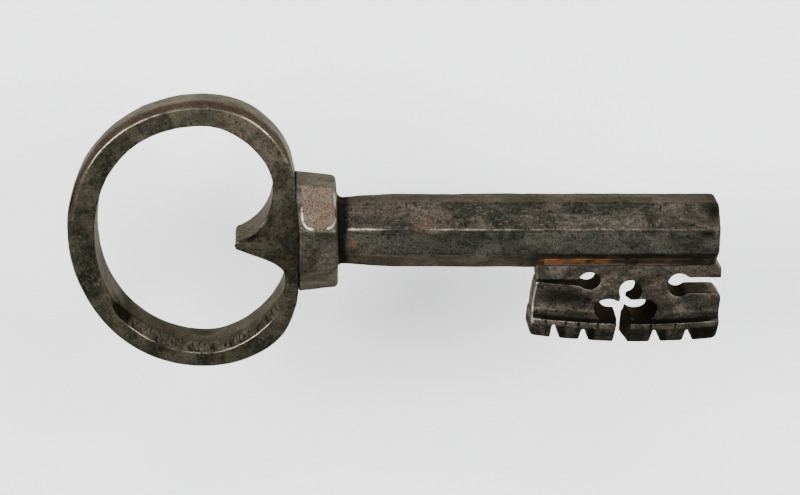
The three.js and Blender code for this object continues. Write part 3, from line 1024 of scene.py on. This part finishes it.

# %% [markdown]
# Dents, wear and painted light
#
# Each mesh is moved a few hundredths of a millimetre by the noise, so that reflections run unevenly
# over it, as on filed iron. Then each point learns whether it stands out or lies in a corner, and
# the finish uses that for bright arrises and darker corners. The looks also paint highlights on
# arrises that face the light, and shade and dark reflections on walls, in the scoop and at the
# notches.

# %% Looks of the ring and the collar
def spot(places, x, y, size):
    """1 at a place, fading out over a size, by the bell curve of the distance."""
    return bell(np.hypot(places[:, 0] - x, places[:, 1] - y), 0, size)


def plain_look(places, normals, bend):
    """Worn where it stands out, and darker where it lies in a corner."""
    return {"wear_and_highlight": bend, "soil_and_shade": -bend}


def ring_look(places, normals, bend):
    """Bright arrises, partly rubbed steel and partly painted highlights; a brown outer bevel,
    partly a painted dark reflection; file marks on the inner bevel; a painted dark reflection in
    the scoop; darker iron against the collar, on the cusp's face and in corners; painted shade on
    the walls of the hole; and lighter iron at the top, the right arm and the inner bevel."""
    x, y = places[:, 0], places[:, 1]
    # A painted dark reflection in the scoop on the inner wall
    scoop = 1.5 * spot(places, *HOLLOW, 2.1) * smooth_step(ring_fields["filed"], -0.2, 0.5)
    seat = 0.15 * smooth_step(x, seat_x - 0.6, seat_x)
    hollow = 0.6 - 0.45 * smooth_step(x, -26, -20)
    off = np.hypot(x - EASE_CENTRE[0], y)
    # Painted shade on the walls of the hole, which face sideways
    wall = 1 - smooth_step(np.abs(normals[:, 2]), 0.15, 0.4)
    wall = 0.34 * wall * (1 - smooth_step(off, 19.6, 20.4)) * smooth_step(x, -49, -43)
    light = smooth_step(y, 9, 15) * smooth_step(x, -52, -40)
    light = 0.8 * light + 0.7 * smooth_step(x, -27, -23) * smooth_step(y, 2, 7)
    light = light + 0.9 * ring_fields["filed"]
    wall = wall * (1 - ring_fields["filed"]) * (1 - 0.4 * smooth_step(x, -32, -27))
    cusp = 0.3 * smooth_step(x, -27, -24.5) * (1 - smooth_step(np.abs(y), 4, 8))
    cusp = cusp * smooth_step(normals[:, 2], 0.6, 0.9)
    # The arrises' shine goes in as painted highlight over rubbed steel
    return {"wear_and_highlight": 0.85 * ring_fields["shine"] + 0.1 * bend,
            "soil_and_shade": scoop + seat + wall + cusp - hollow * bend, "shield": light,
            "band": ring_fields["band"], "filed": ring_fields["filed"]}


# Edges of the pale shield, a painted highlight on the collar's facet that faces the light
SHIELD_LEFT = 0.35
SHIELD_RIGHT = 6.0
SHIELD_LOW = 2.5
SHIELD_CORNER = 1.7


def shield_edge(places):
    """How far a point of the collar lies inside the shield, in millimetres: the least of its
    distances to the left, right and lower edges, with round lower corners. The shield is the
    collar's upper slanted facet, painted pale as a highlight where it faces the light."""
    x, y = places[:, 0] - seat_x, places[:, 1]
    left = x - SHIELD_LEFT - 0.05 * (9 - y)
    right = SHIELD_RIGHT + 0.05 * (9 - y) - x
    low = y - SHIELD_LOW
    side = np.minimum(left, right)
    inside = np.minimum(side, low)
    outside = np.hypot(np.maximum(SHIELD_CORNER - side, 0), np.maximum(SHIELD_CORNER - low, 0))
    return np.minimum(inside, SHIELD_CORNER - outside)


def collar_look(places, normals, bend):
    """A pale shield, a painted highlight, with a bright rim at its lower corners, rubbed steel with
    a painted highlight, and darker iron against the ring.
    """
    edge = shield_edge(places)
    # The shield is painted pale on the facet that faces up and out, towards the light: a painted
    # highlight
    facing = smooth_step(normals[:, 1], 0.05, 0.3) * smooth_step(normals[:, 2], 0.3, 0.55)
    shield = facing * smooth_step(edge, -0.15, 0.25)
    x, y = places[:, 0] - seat_x, places[:, 1]
    # A bright rim along the shield's lower left and right side: rubbed steel with a painted
    # highlight
    band = bell(edge, 0.05, 0.2) * smooth_step(normals[:, 2], 0.2, 0.5)
    lower_left = smooth_step(-x, -3.2, -2.0) * (1 - smooth_step(y, 5.0, 6.4))
    right = smooth_step(x, 4.2, 5.2) * (1 - smooth_step(y, 7.2, 8.4))
    gap = 1 - spot(places, seat_x + 6.0, 4.7, 0.8)
    rim = band * (lower_left + 0.9 * right * gap) * smooth_step(y, 2.0, 2.6)
    leaned = x + COLLAR_LEFT_LEAN * smooth_step(y, 1, 9)
    seat = 0.7 - 0.7 * smooth_step(leaned, 0.1, 0.6)
    wear_and_highlight = 1.0 * rim + 0.18 * bend * (1 - shield)
    return {"wear_and_highlight": wear_and_highlight, "soil_and_shade": seat - 0.5 * bend, "shield": shield}


# %% Looks of the pipe and the bit
# The pipe's ridge line: its direction in degrees, the pits under it, and its brightness, a painted
# highlight over rubbed steel
RIDGE_ANGLE = 15.7
PITTED_X = [14.2, 18.9, 37.4, 40.2, 42.9, 46.1, 51.6, 52.8]
RIDGE_X = [-9, -4, -1, 4, 8, 12, 22, 30, 50]
RIDGE_SHARE = [0.7, 0.5, 0.2, 0.22, 0.4, 0.4, 0.3, 0.24, 0.26]
# Places of the small cuts across the bit's ridge
NICKS = [25.4, 28.8, 31.0, 34.3, 43.4, 47.6]
NICK_WIDTH = 0.18
NICK_DEPTH = 0.22
# How dark each patch on the bit is, its place and its size
PATCHES = [(0.6, 26.0, -10.6, 2.2), (0.75, 29.6, -10.9, 2.5), (0.6, 33.0, -11.9, 1.8),
           (0.25, 52.0, -13.0, 2.4), (0.4, 47.0, -12.2, 1.2), (0.35, 53.4, -16.6, 1.6)]


def brass_share(places, y, reach):
    """Where brazing metal has run: along the joint, in two stretches, fading out."""
    run = np.interp(places[:, 0], BRASS_X, BRASS_SHARE)
    return run * bell(places[:, 1], y, reach) * (places[:, 2] > 0)


def pipe_look(places, normals, bend):
    """A ridge that is bright near the collar and broken farther on, rubbed steel with a painted
    highlight, a paler band under it that is painted sheen, pits under it, darker iron against the
    collar, brazing metal along the joint, and below that a pale strip that is filed flush with the
    web. The front facet has colours of its own."""
    x = places[:, 0]
    angle = np.degrees(np.arctan2(places[:, 1], places[:, 2]))
    # Painted highlight along the ridge, over rubbed steel
    ridge = bell(angle, RIDGE_ANGLE, 3.4)
    ridge = ridge * window(x, pipe_x + 0.8, pipe_x + 2.5, 50, 53)
    fade = np.interp(x, RIDGE_X, RIDGE_SHARE)
    # A paler band under the ridge, the rest of its rounding: painted sheen over rubbed steel
    below = 0.34 * bell(angle, 8, 4)
    below = below * window(x, 10, 16, 50, 54)
    upright = smooth_step(np.abs(normals[:, 1]), 0.86, 0.97)
    front = window(angle, -38, -30, 11, 15)
    dark = 0.2 * (1 - smooth_step(x, 0, 12)) * (1 - front) + 0.06 * upright
    for middle in PITTED_X:
        dark += 0.6 * spot(places, middle, 1.0, 0.75) * (places[:, 2] > 0)
    seat = 0.9 - 0.9 * smooth_step(x, pipe_x + 0.3, pipe_x + 2.4)
    tip = 0.7 * spot(places, pipe_end_x - 1.1, 4.4, 1.5)
    joint = 0.5 * bell(places[:, 1], -2.9, 0.6) * smooth_step(x, 21, 24)
    web_side = smooth_step(-places[:, 1], 5.0, 5.3) * (places[:, 2] > 0)
    web_side = web_side * window(x, 23.2, 24, 44, 50)
    return {"wear_and_highlight": ridge * fade + below + 0.45 * web_side + 0.1 * bend,
            "soil_and_shade": seat + tip + dark + joint * (places[:, 2] > 0),
            "shield": front, "brass": brass_share(places, -4.3, 0.5)}


def bit_nicks(places):
    """1 in the small cuts across the ridge."""
    off = np.abs(places[:, :1] - np.array(NICKS)).min(axis=1)
    level = fore_level(places[:, 0], places[:, 1])
    on_ridge = smooth_step(level, RIDGE_FOOT - 0.3, RIDGE_FOOT) * smooth_step(-level, 15.4, 15.9)
    return bell(off, 0, NICK_WIDTH) * on_ridge


def bit_look(places, normals, bend):
    """A rubbed ridge, a bright left arris that is rubbed steel with a painted highlight, nicks
    across the ridge, a dark hollow above it, dark walls in the wards, painted shadow on the walls
    of the notches and beside their right sides, and dark patches on the web."""
    x, y, z = places.T
    level = fore_level(x, y)
    flat = smooth_step(level, RIDGE_FOOT - 0.2, RIDGE_FOOT) * smooth_step(-level, 15.45, 15.7)
    out = smooth_step(np.abs(z), 3.9, 4.15)
    fade = 1 - 0.65 * smooth_step(x, 42, 53)
    nicks = bit_nicks(places)
    at_left = 1 - smooth_step(x, 24.4, 25.2)
    at_fore = 1 - smooth_step(y, -17.6, -17.0)
    lip = spot(places, 51.0, -10.6, 2.6) * smooth_step(bend, 0.2, 0.5)
    wear_and_highlight = 0.29 * flat * out * fade - 1.5 * nicks + 0.5 * spot(places, 27.3, -6.4, 2.6)
    # The left arris: rubbed steel with a painted highlight
    arris = bell(x, end_at(y, LEFT_END) + 0.16, 0.17) * smooth_step(z, 1.9, 2.3)
    arris = arris * (1 - 0.8 * smooth_step(-y, 15.0, 15.8))
    wear_and_highlight += arris * (0.3 + 0.4 * smooth_step(-y, 8.3, 8.8))
    wear_and_highlight += bend * (0.5 * at_left + 0.2 * at_fore) + 0.5 * lip
    band = window(-level, 13.7, 14.6, 15.4, 15.7)
    inside = smooth_step(1 - np.abs(normals[:, 2]), 0.3, 0.7)
    between_ends = window(x, 24.6, 25.4, 53.2, 54)
    inner = between_ends * window(y, -17.8, -16.8, -6.6, -6.0)
    right_slot = smooth_step(x, 48.8, 49.8) * smooth_step(y, -11.3, -10.9)
    patch = sum(dark * spot(places, *where) for dark, *where in PATCHES)
    # Painted shadow on the face beside the right side of each notch
    for centre, _, half, spread_out in NOTCHES:
        off = x - centre - half - 2 * spread_out
        patch += 0.7 * bell(off, 0.3, 0.5) * smooth_step(-level, 16.5, 17.0) * (z > 0)
    # Painted shadow on the walls of the notches
    notch = smooth_step(np.abs(normals[:, 0]), 0.4, 0.7) * smooth_step(-y, 16.4, 17.0)
    notch = notch * between_ends
    soil_and_shade = 0.5 * band + 0.95 * inside * inner * (1 - 0.55 * right_slot) + 0.8 * nicks
    soil_and_shade += 0.8 * notch * (1 - inner)
    soil_and_shade += 0.46 * smooth_step(-level, 16.4, 16.8) * (1 - notch)
    return {"wear_and_highlight": wear_and_highlight, "soil_and_shade": soil_and_shade + 0.8 * patch * (1 - inside)}


def bead_look(places, normals, bend):
    """Orange brazing metal in two stretches, and a lower edge filed flush with the web."""
    x, y, z = places.T
    filed = smooth_step(-y, 5.0, 5.3) * (z > 0) * (1 - smooth_step(x, 44, 50))
    return {"brass": brass_share(places, -4.5, 0.9) + 0.2 * (z < 0), "wear_and_highlight": filed}


# %% Dents and looks
for piece, depth, reach, look in ((ring, 0.07, 0.5, ring_look), (collar, 0.06, 0.5, collar_look),
                                  (pipe, 0.05, 0.9, pipe_look), (bit, 0.04, 0.4, bit_look)):
    places, _ = points_of(piece.data)
    shove = depth * dents(places, 3.1, 2) + 0.2 * depth * dents(places + 50, 0.7, 2)
    if piece is bit:
        shove -= NICK_DEPTH * bit_nicks(places)
    move_points(piece, shove - 0.5 * depth)
    mark_points(piece, reach, look)
for bead in (bead_front, bead_back):
    mark_points(bead, 0.3, bead_look)
mark_points(tang, 0.3, plain_look)

# %% [markdown]
# Finishes
#
# The finishes are procedural: noise at several sizes makes patches, mottle and pits. The
# maths of a material reads best as sums, so a small class lets a node's output be added
# and multiplied as a number would be, and adds the Math node that each sum needs.

# %% Node helpers
class Wire:
    """An output of a node that takes part in sums. Each sum adds its Math node."""

    def __init__(self, graph, socket):
        """Keeps the graph that the sums go into, and the output itself."""
        self.graph = graph
        self.socket = socket

    def math(self, operation, *others):
        """The Math node of an operation, whose inputs are this output and the others."""
        values = dict(enumerate((self, *others)))
        return self.graph.node("ShaderNodeMath", {"operation": operation}, values)

    def __add__(self, other):
        return self.math("ADD", other)

    def __mul__(self, other):
        return self.math("MULTIPLY", other)

    def __sub__(self, other):
        return self.math("SUBTRACT", other)

    def __rsub__(self, other):
        return (self * -1) + other

    __radd__ = __add__
    __rmul__ = __mul__

    def between(self, low, high):
        """0 below low, 1 above high, and a smooth rise between."""
        settings = {"interpolation_type": "SMOOTHSTEP"}
        values = {"Value": self, "From Min": low, "From Max": high}
        return self.graph.node("ShaderNodeMapRange", settings, values)


class Graph:
    """The node tree of one material."""

    def __init__(self, name):
        """A new material without any nodes."""
        self.material = bpy.data.materials.new(name)
        self.material.use_nodes = True
        self.tree = self.material.node_tree
        self.tree.nodes.clear()

    def node(self, kind, settings=None, values=None, out=0):
        """Adds a node: its settings first, then the values or wires of its inputs."""
        node = self.tree.nodes.new(kind)
        for name, value in (settings or {}).items():
            setattr(node, name, value)
        for name, value in (values or {}).items():
            if isinstance(value, Wire):
                self.tree.links.new(value.socket, node.inputs[name])
            else:
                node.inputs[name].default_value = value
        return Wire(self, node.outputs[out])

    def noise(self, place, size, detail=3.0, rough=0.55, twist=0.0):
        """Noise whose features are about a size across, in millimetres."""
        values = {"Vector": place, "Scale": 1 / (size * MM), "Detail": detail,
                  "Roughness": rough, "Distortion": twist}
        return self.node("ShaderNodeTexNoise", None, values)

    def stretched(self, place, x, y, z):
        """The place scaled along each axis, for marks that run one way."""
        return self.node("ShaderNodeVectorMath", {"operation": "MULTIPLY"},
                         {0: place, 1: (x, y, z)})

    def mix(self, share, first, second):
        """One colour turned into another by a share."""
        def colour(value):
            """A wire as it is, and three shares with a fourth of 1."""
            return value if isinstance(value, Wire) else (*value, 1.0)
        values = {0: share, 6: colour(first), 7: colour(second)}
        return self.node("ShaderNodeMix", {"data_type": "RGBA"}, values, out=2)

    def most(self, first, second):
        """The greater of two signals."""
        return self.node("ShaderNodeMath", {"operation": "MAXIMUM"}, {0: first, 1: second})

    def attribute(self, name):
        """What mark_points wrote under a name, or 0 on a mesh without it."""
        return self.node("ShaderNodeAttribute", {"attribute_name": name}, None, out="Fac")

    def finish(self, values):
        """The surface itself, with its inputs, and the material's output."""
        shader = self.node("ShaderNodeBsdfPrincipled", None, values)
        output = self.tree.nodes.new("ShaderNodeOutputMaterial")
        self.tree.links.new(shader.socket, output.inputs["Surface"])
        return self.material


# %% Iron
BLACK = (0.004, 0.004, 0.003)
# Bare steel, for rubbed arrises and for painted highlights
STEEL = (0.28, 0.24, 0.205)
RUST = (0.085, 0.03, 0.011)
ASH = (0.10, 0.094, 0.08)
BRASS = (0.34, 0.135, 0.035)
# The dark brown of the ring's upper outer bevel, partly a painted dark reflection
BAND = (0.034, 0.021, 0.0145)
EDGE_TINT = (0.53, 0.5, 0.46, 1.0)


def iron(name, pale, dark, green, streaks, rust, pits=0.8, grain=0.7, marks=None,
         shield=None, stains=()):
    """Old iron: pale and dark patches with a green-grey mottle, pits, rust, streaks and cross
    marks, bright arrises that are partly rubbed steel and partly painted highlights, and darkening
    that is partly soil and partly painted shade. Colours are in linear shares, and shield holds the
    same three colours for the part of a piece that is marked so, which on the collar is a painted
    highlight."""
    g = Graph(name)
    place = g.node("ShaderNodeTexCoord", None, None, out="Object")
    run = g.stretched(place, *streaks)
    patch = g.noise(run, 4.2, 4, 0.62, 0.5)
    mottle = g.noise(run, 0.9, 5, 0.7, 0.3)
    grit = g.noise(place, 0.24, 3, 0.6)
    fleck = g.noise(place, 0.45, 2, 0.5, 0.6)
    if shield:
        on = g.attribute("shield")
        pale = g.mix(on, pale, shield[0])
        dark = g.mix(on, dark, shield[1])
        green = g.mix(on, green, shield[2])
    colour = g.mix(patch.between(0.4, 0.62), dark, pale)
    colour = g.mix(mottle.between(0.42, 0.62) * 0.85, colour, green)
    ash = g.noise(run, 0.5, 3, 0.6, 0.3).between(0.55, 0.7)
    colour = g.mix(ash * 0.5, colour, ASH)
    # The ring's upper outer bevel turns dark brown, partly as a painted dark reflection
    colour = g.mix(g.attribute("band") * (0.55 + mottle * 0.5), colour, BAND)
    colour = g.mix(grit.between(0.42, 0.66) * grain, colour, BLACK)
    pit = fleck.between(0.6, 0.67) * pits
    colour = g.mix(pit, colour, BLACK)
    blush = g.noise(place, 2.2, 5, 0.7, 0.8).between(0.56, 0.72) * rust
    for centre, size, amount in stains:
        off = g.node("ShaderNodeVectorMath", {"operation": "DISTANCE"},
                     {0: place, 1: tuple(v * MM for v in centre)}, out="Value")
        ragged = off * (1 / (size * MM)) + (mottle - 0.5) * 2.5
        blush = g.most(blush, (1 - ragged.between(0.3, 1.15)) * amount)
    colour = g.mix(blush, colour, RUST)
    brass = g.attribute("brass") * mottle.between(0.36, 0.56) * 0.9
    colour = g.mix(brass, colour, BRASS)
    height = mottle * 0.45 + grit * 0.35 - pit * 0.8
    if marks == "pipe":
        mark = g.noise(g.stretched(place, 2.6, 1.0, 1.0), 1.0, 3, 0.6).between(0.55, 0.64)
        mark = mark * g.noise(place, 5.0, 2).between(0.48, 0.6) * (1 - on * 0.8)
    if marks == "ring":
        across = g.node("ShaderNodeUVMap", {"uv_map": "Run"})
        mark = g.noise(g.stretched(across, 2.8, 0.35, 1), 1.0, 2, 0.6).between(0.5, 0.58)
        mark = mark * g.most(g.attribute("filed"), g.attribute("band") * 0.4)
    if marks:
        colour = g.mix(mark * 0.92, colour, BLACK)
        height = height - mark * 0.9
    # Black where the iron is soiled and where shade is painted: in corners, on the hole's walls and
    # at the notches
    soil_and_shade = g.attribute("soil_and_shade") + (mottle - 0.5) * 0.25
    soil_and_shade = soil_and_shade.between(0.1, 0.75)
    colour = g.mix(soil_and_shade * 0.9, colour, BLACK)
    # Steel where arrises are rubbed and where highlights are painted on arrises that face the light
    breaks = g.noise(place, 1.7, 4, 0.65, 0.2)
    rub_and_highlight = g.attribute("wear_and_highlight") * (mottle * 0.7 + breaks * 1.6 - 0.15) - pit * 0.5
    rub_and_highlight = rub_and_highlight.between(0.22, 0.85)
    colour = g.mix(rub_and_highlight, colour, STEEL)
    rough = 0.45 + grit * 0.22 - mottle * 0.14 + pit * 0.2
    rough = rough + blush * 0.25 - rub_and_highlight * 0.18 + soil_and_shade * 0.2
    metal = 0.9 - blush * 0.6 + soil_and_shade * 0.1 - brass * 0.3
    bump = g.node("ShaderNodeBump", None,
                  {"Strength": 0.6, "Distance": 0.07 * MM, "Height": height})
    return g.finish({"Base Color": colour, "Roughness": rough, "Metallic": metal,
                     "Specular Tint": EDGE_TINT, "Specular IOR Level": 0.3, "Normal": bump})


bow_iron = iron("bow_iron", (0.062, 0.052, 0.036), (0.012, 0.0115, 0.0085),
                (0.034, 0.036, 0.024), (1, 1, 1), rust=0.15, marks="ring",
                shield=((0.10, 0.084, 0.06), (0.028, 0.025, 0.017), (0.058, 0.055, 0.038)),
                stains=[((-18.8, -4.0, 5), 2.0, 0.15)], grain=0.5)
# The collar's shield colours are paler: a painted highlight on the facet that faces the light
collar_iron = iron("collar_iron", (0.095, 0.083, 0.068), (0.03, 0.027, 0.021),
                   (0.045, 0.044, 0.034), (0.8, 1.2, 1.2), rust=0.55, pits=0.5,
                   shield=((0.11, 0.086, 0.068), (0.078, 0.05, 0.033), (0.085, 0.068, 0.053)))
pipe_iron = iron("pipe_iron", (0.07, 0.053, 0.043), (0.014, 0.012, 0.0095),
                 (0.026, 0.028, 0.02), (0.55, 1.3, 1.3), rust=0.2, marks="pipe",
                 shield=((0.085, 0.08, 0.066), (0.022, 0.0225, 0.018), (0.048, 0.052, 0.04)),
                 stains=[((-7.6, -0.9, 5.4), 1.1, 0.6), ((4.6, 2.4, 5.5), 2.2, 0.2)])
bit_iron = iron("bit_iron", (0.11, 0.088, 0.073), (0.018, 0.0165, 0.013),
                (0.036, 0.038, 0.027), (0.7, 1.2, 1.0), rust=0.2)
print("iron finishes:", [m.name for m in (bow_iron, collar_iron, pipe_iron, bit_iron)])

# %% Brazing
def brazing(name):
    """Brazing metal stained by rust: orange where it shows, iron-dark elsewhere."""
    g = Graph(name)
    place = g.node("ShaderNodeTexCoord", None, None, out="Object")
    patch = g.noise(g.stretched(place, 0.5, 1.0, 1.0), 1.4, 4, 0.65, 0.5)
    grit = g.noise(place, 0.3, 3, 0.6)
    shows = g.attribute("brass") * (patch * 3.6 - 1.0)
    colour = g.mix(shows.between(0.25, 0.8) * 0.62, (0.03, 0.024, 0.018), BRASS)
    colour = g.mix(g.attribute("wear_and_highlight") * 0.8, colour, (0.15, 0.12, 0.1))
    colour = g.mix(grit.between(0.45, 0.65) * 0.6, colour, (0.018, 0.010, 0.005))
    bump = g.node("ShaderNodeBump", None,
                  {"Strength": 0.6, "Distance": 0.06 * MM, "Height": grit})
    return g.finish({"Base Color": colour, "Roughness": 0.55 + grit * 0.2,
                     "Metallic": 0.6, "Specular Tint": EDGE_TINT,
                     "Specular IOR Level": 0.3, "Normal": bump})


braze_metal = brazing("braze_metal")
print("materials:", len(bpy.data.materials))

# %% [markdown]
# Riding on the frame
#
# Every piece rides on the one body of the key and gets its finish, and the imported node that it
# stands for is hidden.

# %% Pieces on the frame
DRESSED = [
    (ring, bow_iron, "dark_iron", "bow"),
    (collar, collar_iron, "worn_iron", "collar"),
    (pipe, pipe_iron, "dark_iron", "pipe"),
    (bit, bit_iron, "dark_iron", "bit"),
    (bead_front, braze_metal, "braze", "braze_front"),
    (bead_back, braze_metal, "braze", "braze_back"),
    (tang, bow_iron, "dark_iron", None),
]
for piece, finish, slot, node in DRESSED:
    piece.data.materials.append(finish)
    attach(piece, "root")
    if node:
        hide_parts(node)

# %% [markdown]
# Floor, camera and light
#
# A plain pale floor, a little bluish, lies some way under the key, so that the shadow stays
# faint. The camera looks down from a distance, about 17 degrees off the upright, from over
# the side that is at the top of the picture. Wide soft lights put a bright edge on each
# arris.

# %% Floor
PAPER_DROP = 26
FLOOR_HALF = 1.5
PAPER = (0.9, 0.92, 0.93, 1.0)


def make_floor():
    """A wide square of paper. It is only a stage, and no piece of the key."""
    half = FLOOR_HALF
    level = cad_low[2] - PAPER_DROP * MM
    mesh = bpy.data.meshes.new("floor")
    corners = [(-half, -half, level), (half, -half, level), (half, half, level),
               (-half, half, level)]
    mesh.from_pydata(corners, [], [(0, 1, 2, 3)])
    paper = Graph("pale_paper")
    mesh.materials.append(paper.finish({"Base Color": PAPER, "Roughness": 0.9}))
    add_object("floor", mesh)


make_floor()
print("floor", PAPER_DROP, "mm under the key")

# %% Camera
PHOTO_WIDTH = 800
SENSOR = 36.0
FOCAL_PIXELS = 2551
CAMERA_PLACE = Vector((-19.16, 121.02, 415.99)) * MM
CAMERA_RIGHT = Vector((0.99898, 0.01294, 0.04334))
CAMERA_BACK = Vector((-0.04523, 0.28582, 0.95721))


def make_camera():
    """The camera that shows the key as the photograph does."""
    data = bpy.data.cameras.new("camera")
    data.sensor_width = SENSOR
    data.lens = FOCAL_PIXELS / PHOTO_WIDTH * SENSOR
    data.clip_start = 0.05
    data.clip_end = 10
    camera = add_object("camera", data)
    up = CAMERA_BACK.cross(CAMERA_RIGHT)
    turn = Matrix((CAMERA_RIGHT, up, CAMERA_BACK)).transposed()
    camera.matrix_world = Matrix.Translation(CAMERA_PLACE) @ turn.to_4x4()
    bpy.context.scene.camera = camera


make_camera()
print("lens, mm:", round(bpy.context.scene.camera.data.lens, 1))

# %% Light
WORLD_COLOUR = (1.0, 0.98, 0.95, 1.0)
WORLD_STRENGTH = 0.55
# Each lamp's name, place, size, power and colour
LAMPS = [
    ("left_light", (-0.72, 0.36, 0.78), 0.6, 21.0, (1.0, 0.995, 0.985)),
    ("right_light", (0.72, 0.36, 0.78), 0.6, 21.0, (1.0, 0.995, 0.985)),
    ("top_light", (0.02, 0.62, 0.62), 0.5, 7.0, (0.97, 0.99, 1.0)),
    ("front_light", (0.0, -0.75, 0.6), 0.6, 1.5, (1.0, 1.0, 1.0)),
]


def softbox(name, place, size, power, colour):
    """A square lamp that faces the key. Place is in metres and power in watts."""
    data = bpy.data.lights.new(name, "AREA")
    data.shape = "SQUARE"
    data.size = size
    data.energy = power
    data.color = colour
    lamp = add_object(name, data)
    lamp.location = place
    lamp.rotation_mode = "QUATERNION"
    lamp.rotation_quaternion = Vector(place).to_track_quat("Z", "Y")


for lamp in LAMPS:
    softbox(*lamp)
world = bpy.data.worlds.new("studio")
world.use_nodes = True
background = world.node_tree.nodes["Background"]
background.inputs["Color"].default_value = WORLD_COLOUR
background.inputs["Strength"].default_value = WORLD_STRENGTH
bpy.context.scene.world = world
print("lamps:", len(bpy.data.lights))
